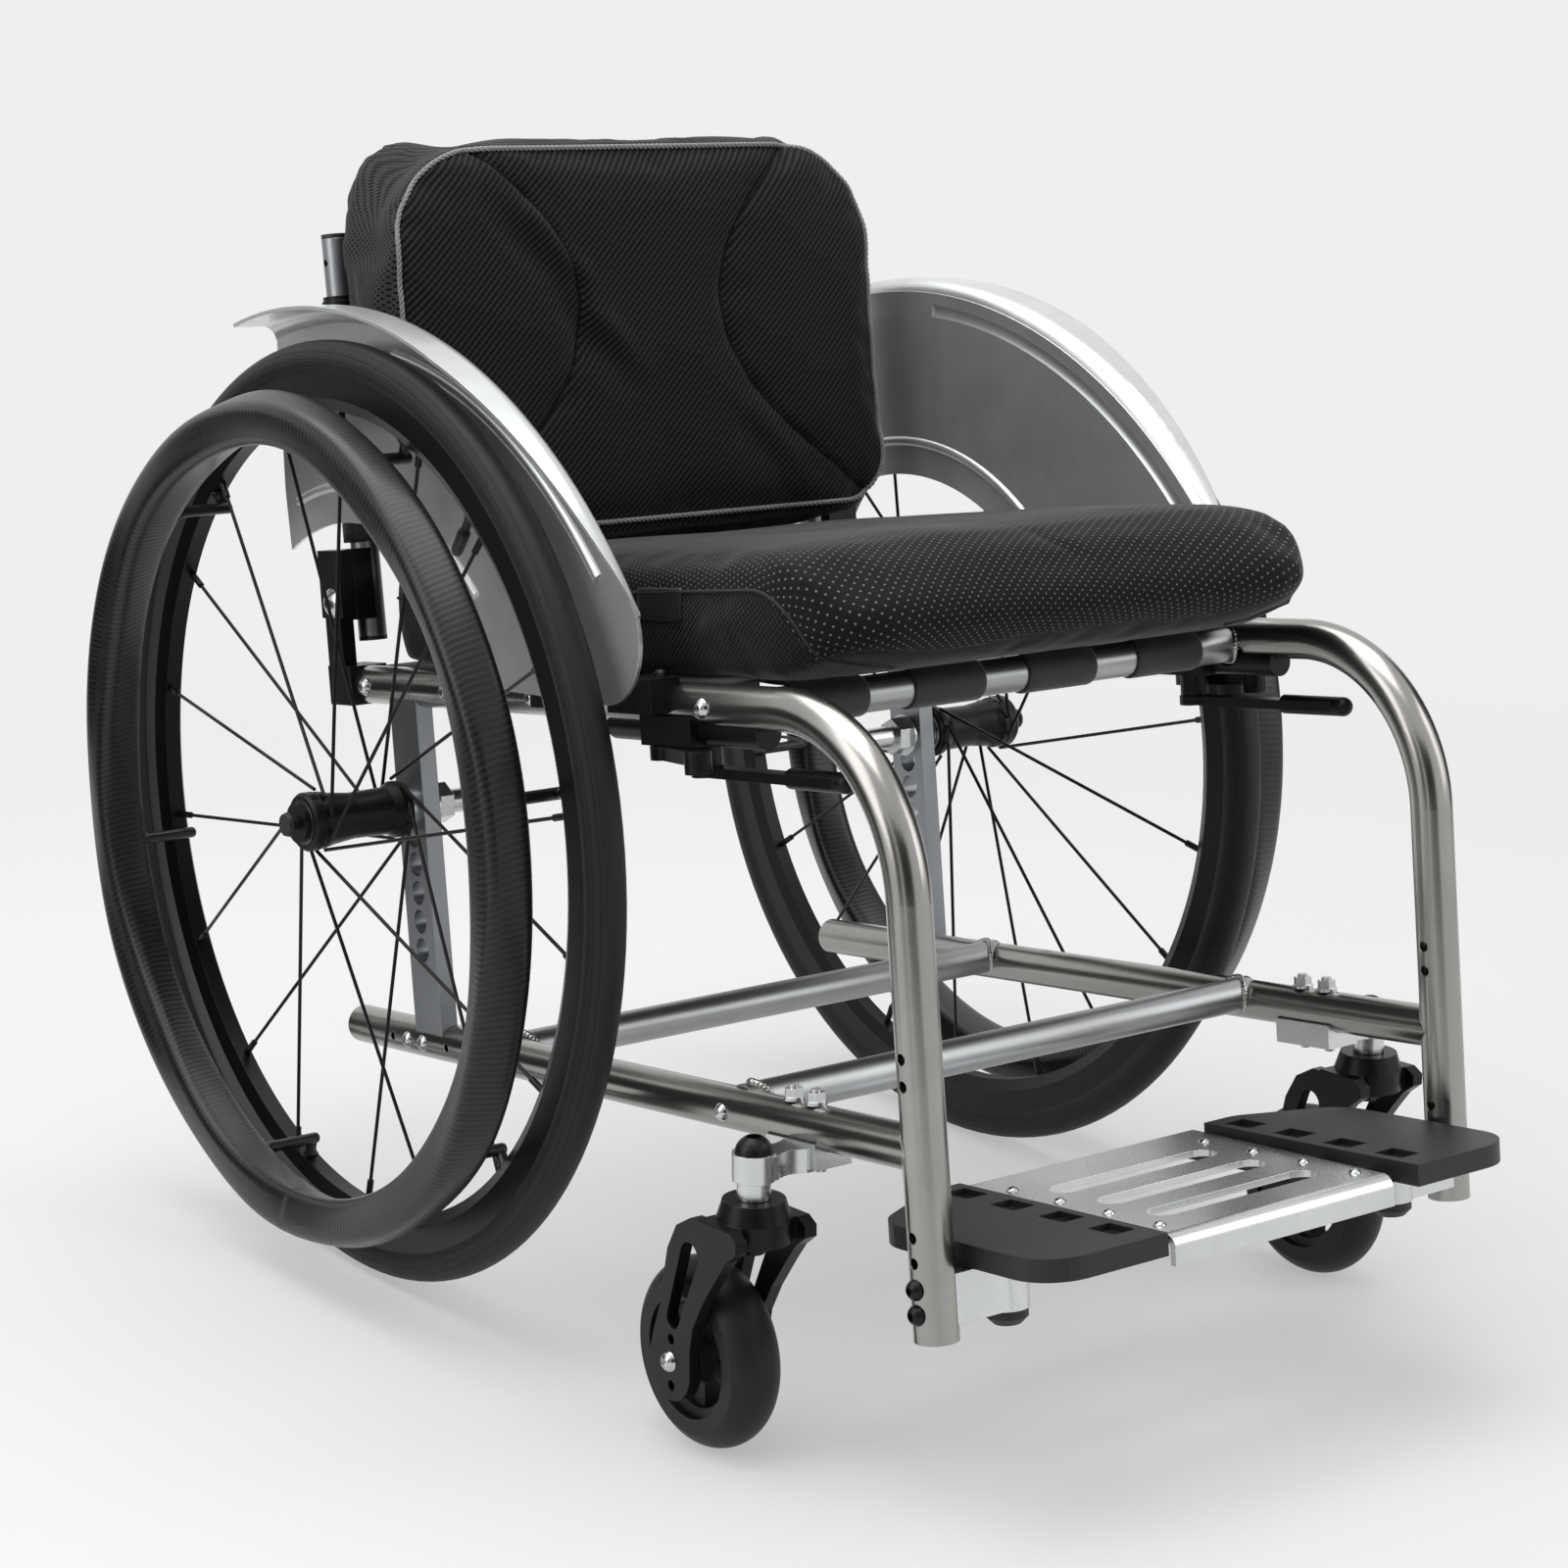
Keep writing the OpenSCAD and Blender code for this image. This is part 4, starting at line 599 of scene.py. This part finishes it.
strap_wide = 54
strap_pitch = 88
strap_count = 4
strap_thick = 1.5
strap_r = cross_r + 0.1 + strap_thick / 2
strap_tail = 52
strap_turn = math.radians(262)
rib_pitch = 2.6 * mm
ribbed_webbing, tree, shader = new_material("ribbed_polyester_webbing")
laid = add_node(tree, "Attribute", attribute_name="laid").outputs["Vector"]
across, along = add_node(tree, "SeparateXYZ", {0: laid}).outputs[:2]
rib = wave_along(tree, across, rib_pitch)
pick = wave_along(tree, along, rib_pitch)
cell = add_node(tree, "Math", {0: rib, 1: pick}, operation="MULTIPLY")
weave = add_node(tree, "MapRange", {"Value": cell, "From Min": -1, "From Max": 1})
colour = add_node(tree, "Mix", {0: weave, 6: srgb("#101011"), 7: srgb("#2E2E30")}, data_type="RGBA")
bump = add_node(tree, "Bump", {"Strength": 0.6, "Distance": 0.35 * mm, "Height": weave})
set_inputs(tree, shader, {"Base Color": colour.outputs[2], "Roughness": 0.6, "Normal": bump})
set_inputs(tree, shader, {"Sheen Weight": 0.3, "Sheen Roughness": 0.4})


def band(shape, layer, path, x, wide, thick):
    """A flat woven band that follows a path of level-frame (y, z) points, with softly rounded selvedges."""
    steps = (-1, -0.94, -0.6, -0.2, 0.2, 0.6, 0.94, 1)
    rings = []
    lengths = [0.0]
    for k, (y, z) in enumerate(path):
        before = Vector(path[max(k - 1, 0)])
        after = Vector(path[min(k + 1, len(path) - 1)])
        run = (after - before).normalized()
        out = Vector((-run.y, run.x))
        if k:
            lengths.append(lengths[-1] + (Vector(path[k]) - Vector(path[k - 1])).length)
        ring = []
        for face in (1, -1):
            for step in steps[::face]:
                half = thick / 2 * (0.45 if abs(step) == 1 else 1) * face
                spot = (x + wide / 2 * step, y + out.x * half, z + out.y * half)
                ring.append(level_to_row @ (Vector(spot) * mm))
        rings.append(ring)
    for k, ring in enumerate(loft(shape, rings, "capped")):
        for j, corner in enumerate(ring):
            step = steps[j] if j < len(steps) else steps[2 * len(steps) - 1 - j]
            corner[layer] = (wide / 2 * step * mm, lengths[k] * mm, 0)


tube_y, tube_z = welded_tubes[2]
shape = bmesh.new()
layer = shape.verts.layers.float_vector.new("laid")
for k in range(strap_count):
    x = strap_pitch * (k - (strap_count - 1) / 2)
    wrap = [
        (tube_y + strap_tail, sling_z - 2.2),
        (tube_y + 30, sling_z - 2.3),
        (tube_y + 12, tube_z + strap_r + 0.3),
    ]
    for j in range(29):
        turn = math.pi / 2 + strap_turn * j / 28
        wrap.append((tube_y + strap_r * math.cos(turn), tube_z + strap_r * math.sin(turn)))
    band(shape, layer, wrap, x, strap_wide, strap_thick)
straps = finish_piece("webbing_straps", shape, ribbed_webbing, "frame")
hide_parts("sling_straps")

# The seat cushion is a foam block in a zipped cover: dotted spacer cloth over the top and the rounded nose,
# and a darker open mesh round the sides. It rests flat on the sling.
seat_middle = -232.5
seat_low = 393.04
seat_half_wide = 196
seat_half_long = 252.5
seat_edge = 69
crease_high = 1.6
crease_cell = (60, 80)
crease_from = 20
crease_run = 30


def rows_of(items, field):
    """A field of each item, such as its place, as an array with one row of three each."""
    flat = np.empty(len(items) * 3, np.float32)
    items.foreach_get(field, flat)
    return flat.reshape(-1, 3).astype(float)


def set_corners(mesh, places):
    """Moves a mesh's corners."""
    mesh.vertices.foreach_set("co", np.asarray(places, np.float32).ravel())
    mesh.update()


def carried(matrix, places):
    """Points taken through a matrix."""
    turn = np.array(matrix.to_3x3())
    return places @ turn.T + np.array(matrix.translation)


def applied(piece):
    """Bakes a piece's modifiers into its mesh."""
    graph = bpy.context.evaluated_depsgraph_get()
    made = bpy.data.meshes.new_from_object(piece.evaluated_get(graph))
    piece.modifiers.clear()
    piece.data = made


def stuffed(name, node, voxel, rounds, drawn_in, swell):
    """A cushion's cover: the CAD solid's skin, remeshed, drawn in a little and blown up as cloth."""
    piece = bpy.data.objects.new(name, frame["nodes"][node].data.copy())
    scene.collection.objects.link(piece)
    even = piece.modifiers.new("even_cloth", "REMESH")
    even.mode = "VOXEL"
    even.voxel_size = voxel * mm
    soften = piece.modifiers.new("soft_edges", "SMOOTH")
    soften.factor = 0.5
    soften.iterations = rounds
    applied(piece)
    start = rows_of(piece.data.vertices, "co")
    start -= rows_of(piece.data.vertex_normals, "vector") * drawn_in * mm
    set_corners(piece.data, start)
    fill = piece.modifiers.new("foam_fill", "CLOTH")
    fill.settings.quality = 4
    fill.settings.use_pressure = True
    fill.settings.uniform_pressure_force = 4
    fill.settings.effector_weights.gravity = 0
    fill.settings.tension_stiffness = 20
    fill.settings.compression_stiffness = 20
    fill.settings.bending_stiffness = 3
    fill.collision_settings.use_collision = False
    for step in range(1, 21):
        scene.frame_set(step)
    applied(piece)
    scene.frame_set(1)
    moved = rows_of(piece.data.vertices, "co") - start
    reach = np.linalg.norm(moved, axis=1, keepdims=True)
    set_corners(piece.data, start + moved * np.minimum(1, swell * mm / np.maximum(reach, 1e-9)))
    smooth = piece.modifiers.new("finer", "SUBSURF")
    smooth.levels = 1
    smooth.render_levels = 1
    applied(piece)
    piece.data.shade_smooth()
    return piece


def store(mesh, name, values):
    """Keeps one number for each corner, or three, under a name that the material reads."""
    kind = "FLOAT" if np.ndim(values) == 1 else "FLOAT_VECTOR"
    field = "value" if kind == "FLOAT" else "vector"
    mesh.attributes.new(name, kind, "POINT").data.foreach_set(field, np.asarray(values, np.float32).ravel())


def cloth_grid(first, second):
    """A slow deterministic ripple, for the creases of cloth over foam."""
    return np.array([noise.noise(Vector((a, b, 0.5))) for a, b in zip(first, second)])


seat = stuffed("seat_cushion_cover", "seat_cushion", 5, 12, 0.5, 4.0)
place_mm = carried(level_to_row.inverted(), rows_of(seat.data.vertices, "co")) / mm
crease = cloth_grid(place_mm[:, 0] / crease_cell[0], place_mm[:, 1] / crease_cell[1])
above = np.clip((place_mm[:, 2] - seat_low - crease_from) / crease_run, 0, 1)
place_mm[:, 2] += crease_high * crease * above
place_mm[:, 2] = np.maximum(place_mm[:, 2], seat_low + 0.05)
set_corners(seat.data, carried(level_to_row, place_mm * mm))

# Each corner's depth inside the side panel, whose seam follows the top edge and turns down behind the nose.
panel_front = seat_middle - seat_half_long + 34
panel_round = 46
seam_down = 15
seam_slope = 11
nose_down = 22


def panel_top(y):
    """The side seam's height over the sling."""
    v = (y - seat_middle) / seat_half_long
    nose = np.clip((-0.72 - v) / 0.28, 0, 1)
    return seat_low + seat_edge - seam_down - seam_slope * (v + 1) / 2 - nose_down * nose


def panel_depth(y, z):
    """How far a level-frame point lies inside the side panel, in mm, negative outside it."""
    from_top = panel_top(y) - z
    from_front = y - panel_front
    corner_out = np.hypot(np.maximum(panel_round - from_top, 0), np.maximum(panel_round - from_front, 0))
    return np.where(
        (from_top < panel_round) & (from_front < panel_round),
        panel_round - corner_out,
        np.minimum(from_top, from_front),
    )


store(seat.data, "panel", panel_depth(place_mm[:, 1], place_mm[:, 2]) * mm)

# The top cloth is one panel from the rear edge to under the nose, laid out flat as it was cut.
dot_row = 5.8
dot_step = 5.4
across = place_mm[:, 0]
back_way = place_mm[:, 1]
level_turn = level_to_row.inverted().to_3x3().to_4x4()
facing = carried(level_turn, rows_of(seat.data.vertex_normals, "vector"))
on_cover = (panel_depth(back_way, place_mm[:, 2]) < 1.0) & (facing[:, 2] > -0.8)
shape = bmesh.new()
shape.from_mesh(seat.data)
for face in shape.faces:
    face.select_set(all(on_cover[corner.index] for corner in face.verts))
for edge in shape.edges:
    edge.seam = len({face.select for face in edge.link_faces}) == 2
shape.to_mesh(seat.data)
shape.free()
bpy.context.view_layer.objects.active = seat
bpy.ops.object.mode_set(mode="EDIT")
bpy.ops.uv.unwrap(method="CONFORMAL", correct_aspect=False)
bpy.ops.object.mode_set(mode="OBJECT")
corner_of = np.empty(len(seat.data.loops), np.int32)
seat.data.loops.foreach_get("vertex_index", corner_of)
spot = np.empty(2 * len(corner_of), np.float32)
seat.data.uv_layers.active.data.foreach_get("uv", spot)
seat.data.uv_layers.remove(seat.data.uv_layers.active)
covered = np.zeros(len(corner_of), bool)
for face in seat.data.polygons:
    if all(on_cover[corner] for corner in face.vertices):
        covered[face.loop_start:face.loop_start + face.loop_total] = True
pattern = np.zeros(len(across), complex)
pattern[corner_of[covered]] = (spot[0::2] + 1j * spot[1::2])[covered]
near_middle = (np.abs(across) < 120) & (np.abs(back_way - seat_middle) < 90)
level_part = on_cover & near_middle & (facing[:, 2] > 0.8)
target = across + 1j * back_way
fits = []
for flat in (pattern, pattern.conj()):
    terms = np.stack([flat, np.ones(len(flat))], axis=1)
    turned = terms @ np.linalg.lstsq(terms[level_part], target[level_part], rcond=None)[0]
    fits.append((np.abs(turned - target)[level_part].mean(), turned))
laid_flat = min(fits, key=lambda fit: fit[0])[1]
laid_flat[~on_cover] = dot_row / 2
store(seat.data, "laid", np.stack([laid_flat.real, laid_flat.imag, np.zeros(len(across))], axis=1) * mm)

hole_pitch = 4.0 * mm


def open_mesh(tree, along, upward, strand_to, hole_from):
    """1 in the holes of a slanted net and 0 on its strands, with a soft edge between these heights."""
    rising = add_node(tree, "Math", {0: along, 1: upward}, operation="ADD")
    falling = add_node(tree, "Math", {0: along, 1: upward}, operation="SUBTRACT")
    waves = {0: wave_along(tree, rising, hole_pitch), 1: wave_along(tree, falling, hole_pitch)}
    net = add_node(tree, "Math", waves, operation="ADD")
    edges = {"Value": net, "From Min": strand_to, "From Max": hole_from}
    return add_node(tree, "MapRange", edges, interpolation_type="SMOOTHSTEP")


dotted_cloth, tree, shader = new_material("dotted_spacer_cloth")
laid = add_node(tree, "Attribute", attribute_name="laid").outputs["Vector"]
across, along = add_node(tree, "SeparateXYZ", {0: laid}).outputs[:2]
rows = wave_along(tree, across, dot_row * mm)
steps = wave_along(tree, along, dot_step * mm)
lattice = add_node(tree, "Math", {0: rows, 1: steps}, operation="MULTIPLY")
dot_edge = {"Value": lattice, "From Min": 0.74, "From Max": 0.92}
dot = add_node(tree, "MapRange", dot_edge, interpolation_type="SMOOTHSTEP")
place = add_node(tree, "TexCoord").outputs["Object"]
x, y, z = add_node(tree, "SeparateXYZ", {0: place}).outputs
hole = open_mesh(tree, y, z, -0.2, 0.9)
fuzz = add_node(tree, "TexNoise", {"Vector": place, "Scale": 1 / (0.9 * mm), "Detail": 3})
ground = add_node(tree, "Mix", {0: fuzz, 6: srgb("#0C0C0D"), 7: srgb("#1E1E20")}, data_type="RGBA")
top_colour = add_node(tree, "Mix", {0: dot, 6: ground.outputs[2], 7: srgb("#777779")}, data_type="RGBA")
strand = add_node(tree, "Mix", {0: fuzz, 6: srgb("#141415"), 7: srgb("#272729")}, data_type="RGBA")
side_colour = add_node(tree, "Mix", {0: hole, 6: strand.outputs[2], 7: srgb("#070708")}, data_type="RGBA")
inside = add_node(tree, "Attribute", attribute_name="panel").outputs["Fac"]
on_panel = add_node(tree, "MapRange", {"Value": inside, "From Min": -0.3 * mm, "From Max": 0.3 * mm})
colour = add_node(
    tree, "Mix", {0: on_panel, 6: top_colour.outputs[2], 7: side_colour.outputs[2]}, data_type="RGBA"
)
dot_rise = add_node(tree, "Math", {0: fuzz, 1: 0.35, 2: dot}, operation="MULTIPLY_ADD")
net_rise = add_node(tree, "Math", {0: 1.0, 1: hole}, operation="SUBTRACT")
rise = add_node(tree, "Mix", {0: on_panel, 2: dot_rise, 3: net_rise})
bump = add_node(tree, "Bump", {"Strength": 0.7, "Distance": 0.5 * mm, "Height": rise})
set_inputs(tree, shader, {"Base Color": colour.outputs[2], "Normal": bump, "Roughness": 0.78})
set_inputs(tree, shader, {"Sheen Weight": 0.42, "Sheen Roughness": 0.3, "Sheen Tint": srgb("#C8C8C8")})
set_inputs(tree, shader, {"Specular IOR Level": 0.12})
dress(seat, dotted_cloth, "frame")
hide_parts("seat_cushion")

# The seams of the side panels are turned welts of the same black cloth, sewn with a close stitch.
# They run along the cushion's top edge and turn down behind the nose.
welt_r = 1.1
welt_proud = 0.3
seam_cloth = hard_finish("black_seam_tape", "#0F0F10", "#1B1B1C", 0, 0.75, 0.08, 0.7, 0.05, "#222223", 0.3)


def rope(shape, path, radius, sides=8):
    """A round tube along a path of points."""
    rings = []
    for k, point in enumerate(path):
        run = (path[min(k + 1, len(path) - 1)] - path[max(k - 1, 0)]).normalized()
        flat = run.cross(Vector((0.31, 0.17, 0.93))).normalized()
        other = run.cross(flat)
        ring = []
        for j in range(sides):
            angle = math.tau * j / sides
            ring.append(point + (flat * math.cos(angle) + other * math.sin(angle)) * radius)
        rings.append(ring)
    loft(shape, rings, "capped")


def skin_of(piece):
    """A piece's faces as a tree that rays can hit."""
    faces = [list(face.vertices) for face in piece.data.polygons]
    return BVHTree.FromPolygons([corner.co.copy() for corner in piece.data.vertices], faces)


seat_skin = skin_of(seat)
seam_rear = seat_middle + seat_half_long - 14
top_stop = panel_front + panel_round
seam_line = [(y, float(panel_top(y))) for y in np.arange(seam_rear, top_stop, -4)]
for k in range(13):
    angle = math.pi / 2 * k / 12
    down = panel_round * (1 - math.cos(angle))
    seam_line.append((top_stop - panel_round * math.sin(angle), float(panel_top(top_stop)) - down))
seam_line.append((panel_front, seat_low + 4))
shape = bmesh.new()
for sign in (1, -1):
    seam = []
    for y, z in seam_line:
        start = level_to_row @ (Vector((sign * 1.5 * seat_half_wide, y, z)) * mm)
        hit = seat_skin.ray_cast(start, Vector((-sign, 0, 0)))
        if hit[0] is not None:
            seam.append(hit[0] + hit[1] * welt_proud * mm)
    rope(shape, seam, welt_r * mm)
finish_piece("seat_side_welts", shape, seam_cloth, "frame")

# A plain satin label is sewn to the right side of the cushion near the front, left bare.
# Its sheen is smoother than the mesh around it.
label_middle = (-311, 437)
label_wide = 46
label_tall = 20
label_proud = 0.7
label_thick = 0.8
satin_label = hard_finish("woven_satin", "#101011", "#1A1A1B", 0, 0.42, 0.06, 0.6, 0.02, "#2A2A2B", 0.3)


def label_corner(across, along):
    """A corner of the label, laid on the cushion's side."""
    y = label_middle[0] + label_wide * (across - 0.5)
    z = label_middle[1] + label_tall * (along - 0.5)
    hit = seat_skin.find_nearest(level_to_row @ (Vector((-seat_half_wide, y, z)) * mm))
    return hit[0] + hit[1] * label_proud * mm


shape = bmesh.new()
lay_grid(shape, 16, 8, label_corner)
label = finish_piece("bare_seat_label", shape, satin_label, "frame")
thicken(label, label_thick)

# The back cushion is a foam pad in a cover with a ribbed black face and side bolsters of grey open mesh.
# Two curved seams part the face, and a twisted grey cord is sewn round its edge.
hinge = Vector(joints["back_recline"]["pos_m"])
back_lean = pitch + math.radians(1.5)
back_to_row = Matrix.Translation((0, hinge.y, hinge.z)) @ Matrix.Rotation(-back_lean, 4, "X")
back_half_wide = 202
back_tall = 274
back_up = 163
crown_lift = 8
crown_from = 99
crown_run = 193
back_face = -84.3
back_rear = -21.3
low_round = 45
high_round = 78
seam_waist = 58
seam_spread = 0.0063
seam_rise = 20
fore_from = 30
fore_run = 15
crease_cell = (55, 70)
stitch_wide = 3.2
stitch_deep = 2.6
pucker_wide = 16
pucker_step = 5.5
pucker_high = 0.5
fold_wide = 9
fold_cos, fold_sin = 0.68, 0.73
folds_seen = ((-76, 62, 44, 5.2), (-44, 10, 36, 4.4), (88, -70, 40, 2.2))
hollow_deep = 0.7
hollow_off = 15
hollow_wide = 11
hump_x = 176
hump_wide = 40
hump_from = 10
hump_run = 100
hump_out = 4
hump_up = 13
sag_down = 7
sag_from = 70
sag_run = 55

back = stuffed("back_cushion_cover", "back_cushion", 5, 3, 2.0, 4.0)
place_mm = carried(back_to_row.inverted(), rows_of(back.data.vertices, "co")) / mm
push = carried(back_to_row.inverted().to_3x3().to_4x4(), rows_of(back.data.vertex_normals, "vector"))
place_mm[:, 2] += crown_lift * np.clip((place_mm[:, 2] - crown_from) / crown_run, 0, 1)
across = place_mm[:, 0]
up = place_mm[:, 2] - back_up
seam_off = np.abs(across) - (seam_waist + seam_spread * (up - seam_rise) ** 2)
fore = np.clip((back_rear - fore_from - place_mm[:, 1]) / fore_run, 0, 1)
stitched = np.exp(-((seam_off / stitch_wide) ** 2)) * fore
crease = cloth_grid(across / crease_cell[0], up / crease_cell[1])
pucker = np.exp(-((seam_off / pucker_wide) ** 2)) * np.sin(up / pucker_step) * pucker_high
folds = np.zeros(len(across))
for fold_x, fold_z, fold_long, fold_high in folds_seen:
    down_it = (across - fold_x) * fold_cos - (up - fold_z) * fold_sin
    over_it = (across - fold_x) * fold_sin + (up - fold_z) * fold_cos
    hollow = hollow_deep * np.exp(-(((over_it + hollow_off) / hollow_wide) ** 2))
    crown = np.exp(-((over_it / fold_wide) ** 2)) - hollow
    folds += fold_high * crown * np.exp(-((down_it / fold_long) ** 2))
behind = np.clip((place_mm[:, 1] - back_face - 22) / 28, 0, 1)
hump = np.exp(-(((np.abs(across) - hump_x) / hump_wide) ** 2)) * behind
hump *= np.clip((up - hump_from) / hump_run, 0, 1)
sag = np.clip((-up - sag_from) / sag_run, 0, 1) ** 2 * (1 - 0.5 * np.clip(across / 180, 0, 1))
swell = (crease_high * crease + folds + pucker) * fore - stitch_deep * stitched + hump_out * hump
place_mm += push * swell[:, None]
place_mm[:, 2] += hump_up * hump - sag_down * sag
place_mm[:, 1] = np.minimum(place_mm[:, 1], back_rear - 0.1)
set_corners(back.data, carried(back_to_row, place_mm * mm))


def face_depth(x, z, inset):
    """How far a point lies inside the piped outline of the face, in mm, negative outside it."""
    half_w = back_half_wide - inset
    half_h = back_tall / 2 - inset
    bend = np.where(z > 0, high_round, low_round) - inset
    out_x = np.abs(x) - half_w + bend
    out_z = np.abs(z) - half_h + bend
    outside = np.hypot(np.maximum(out_x, 0), np.maximum(out_z, 0)) + np.minimum(np.maximum(out_x, out_z), 0)
    return bend - outside


pipe_inset = 12
depth = face_depth(across, up, pipe_inset)
depth = np.where(place_mm[:, 1] < (back_face + back_rear) / 2, depth, -np.abs(depth) - 5)
store(back.data, "face", depth * mm)
store(back.data, "seam", np.where(fore > 0.4, seam_off, 50) * mm)

rib_step = 3.6 * mm
ribbed_cloth, tree, shader = new_material("ribbed_spacer_cloth")
place = add_node(tree, "TexCoord").outputs["Object"]
x, y, z = add_node(tree, "SeparateXYZ", {0: place}).outputs
slant = add_node(tree, "Math", {0: x, 1: z}, operation="SUBTRACT")
counter = add_node(tree, "Math", {0: x, 1: z}, operation="ADD")
ridges = wave_along(tree, slant, rib_step * math.sqrt(2))
notches = wave_along(tree, counter, rib_step * math.sqrt(2))
relief = add_node(tree, "Math", {0: notches, 1: 0.3, 2: ridges}, operation="MULTIPLY_ADD")
rib = add_node(
    tree, "MapRange", {"Value": relief, "From Min": -0.7, "From Max": 0.9}, interpolation_type="SMOOTHSTEP"
)
round_side = add_node(tree, "Math", {0: y, 1: x}, operation="ADD")
hole = open_mesh(tree, round_side, z, 0.0, 1.0)
fuzz = add_node(tree, "TexNoise", {"Vector": place, "Scale": 1 / (0.9 * mm), "Detail": 3})
valley = add_node(tree, "Mix", {0: rib, 6: srgb("#070708"), 7: srgb("#303032")}, data_type="RGBA")
seam_at = add_node(tree, "Attribute", attribute_name="seam").outputs["Fac"]
seam_near = add_node(tree, "Math", {0: seam_at}, operation="ABSOLUTE")
thread_line = add_node(tree, "MapRange", {"Value": seam_near, "From Min": 0.7 * mm, "From Max": 1.6 * mm})
face_colour = add_node(
    tree, "Mix", {0: thread_line, 6: srgb("#070708"), 7: valley.outputs[2]}, data_type="RGBA"
)
strand = add_node(tree, "Mix", {0: fuzz, 6: srgb("#2C2C2E"), 7: srgb("#444446")}, data_type="RGBA")
side_colour = add_node(tree, "Mix", {0: hole, 6: strand.outputs[2], 7: srgb("#0B0B0C")}, data_type="RGBA")
inside = add_node(tree, "Attribute", attribute_name="face").outputs["Fac"]
on_face = add_node(tree, "MapRange", {"Value": inside, "From Min": -0.3 * mm, "From Max": 0.3 * mm})
colour = add_node(
    tree, "Mix", {0: on_face, 6: side_colour.outputs[2], 7: face_colour.outputs[2]}, data_type="RGBA"
)
net_rise = add_node(tree, "Math", {0: 1.0, 1: hole}, operation="SUBTRACT")
rise = add_node(tree, "Mix", {0: on_face, 2: net_rise, 3: rib})
bump = add_node(tree, "Bump", {"Strength": 0.7, "Distance": 0.5 * mm, "Height": rise})
set_inputs(tree, shader, {"Base Color": colour.outputs[2], "Roughness": 0.8, "Normal": bump})
set_inputs(tree, shader, {"Specular IOR Level": 0.12, "Sheen Weight": 0.12, "Sheen Roughness": 0.45})
dress(back, ribbed_cloth, "back")
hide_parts("back_cushion")

# The piping is a light grey cord of three twisted strands, sewn into the edge of the face.
# It catches the light as a fine broken line.
cord_r = 1.0
strand_r = 0.95
lay_length = 11
strands = 3
pipe_step = 1.6
pipe_proud = 1.0
pipe_passes = 4
grey_cord = hard_finish(
    "twisted_polyester_cord", "#7E7E80", "#A0A0A2", 0, 0.7, 0.08, 0.6, 0.05, "#B0B0B2", 0.3
)
back_skin = skin_of(back)
half_w = back_half_wide - pipe_inset
half_h = back_tall / 2 - pipe_inset
outline = []
for cx, cz, bend, begin in (
    (1, 1, high_round, 0), (-1, 1, high_round, 90), (-1, -1, low_round, 180), (1, -1, low_round, 270)
):
    bend = bend - pipe_inset
    for k in range(41):
        angle = math.radians(begin + 90 * k / 40)
        x = cx * (half_w - bend) + bend * math.cos(angle)
        z = cz * (half_h - bend) + bend * math.sin(angle)
        outline.append(Vector((x, 0, z)))
outline.append(outline[0])
path = []
for first, second in zip(outline, outline[1:]):
    steps = max(1, int((second - first).length / pipe_step))
    for k in range(steps):
        path.append(first.lerp(second, k / steps))
into = back_to_row.to_3x3() @ Vector((0, 1, 0))
sewn = []
for spot in path:
    start = back_to_row @ (Vector((spot.x, back_face - 40, back_up + spot.z)) * mm)
    hit = back_skin.ray_cast(start, into)
    if hit[0] is None:
        hit = back_skin.find_nearest(start + into * 45 * mm)
    sewn.append(hit[0] - into * pipe_proud * mm)
for _ in range(pipe_passes):
    sewn = [(sewn[k - 1] + 2 * sewn[k] + sewn[(k + 1) % len(sewn)]) / 4 for k in range(len(sewn))]
shape = bmesh.new()
for s in range(strands):
    rings = []
    travelled = 0.0
    for k, point in enumerate(sewn):
        after = sewn[(k + 1) % len(sewn)]
        run = (after - sewn[k - 1]).normalized()
        flat = run.cross(Vector((0, 1, 0))).normalized()
        other = run.cross(flat)
        spin = math.tau * (travelled / (lay_length * mm) + s / strands)
        core = point + (flat * math.cos(spin) + other * math.sin(spin)) * cord_r * mm
        angles = [math.tau * j / 6 for j in range(6)]
        rings.append([core + (flat * math.cos(a) + other * math.sin(a)) * strand_r * mm for a in angles])
        travelled += (after - point).length
    loft(shape, rings, "joined")
finish_piece("grey_back_piping", shape, grey_cord, "back")

# The back upholstery is a band of black nylon, sewn into a sleeve round each post and stretched between them.
# The cushion hangs on its front.
post_x = 187
sleeve_r = 13
sleeve_start = -118
sleeve_sweep = 250
panel_low = 39
panel_high = 172
panel_thick = 1.2
run_half = 160
front_y = -18.6
rear_y = -13.6
hem_tuck = 5
sleeve = []
for k in range(25):
    angle = math.radians(sleeve_start + sleeve_sweep * k / 24)
    sleeve.append((post_x + sleeve_r * math.cos(angle), sleeve_r * math.sin(angle)))
far_sleeve = [(-x, y) for x, y in reversed(sleeve)]
front_run = [(run_half * (2 * k / 24 - 1), front_y) for k in range(25)]
rear_run = [(-x, rear_y) for x, y in front_run]
rings = []
levels = 20
for j in range(levels + 1):
    ring = []
    for x, y in front_run + sleeve + rear_run + far_sleeve:
        tuck = hem_tuck * math.cos(math.pi * x / (2 * (post_x + sleeve_r))) ** 2
        z = panel_low + tuck + (panel_high - panel_low - 2 * tuck) * j / levels
        ring.append(back_to_row @ (Vector((x, y, z)) * mm))
    rings.append(ring)
shape = bmesh.new()
loft(shape, rings, "open")
upholstery = finish_piece("nylon_back_band", shape, woven_nylon, "back")
thicken(upholstery, panel_thick)
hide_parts("back_panel")
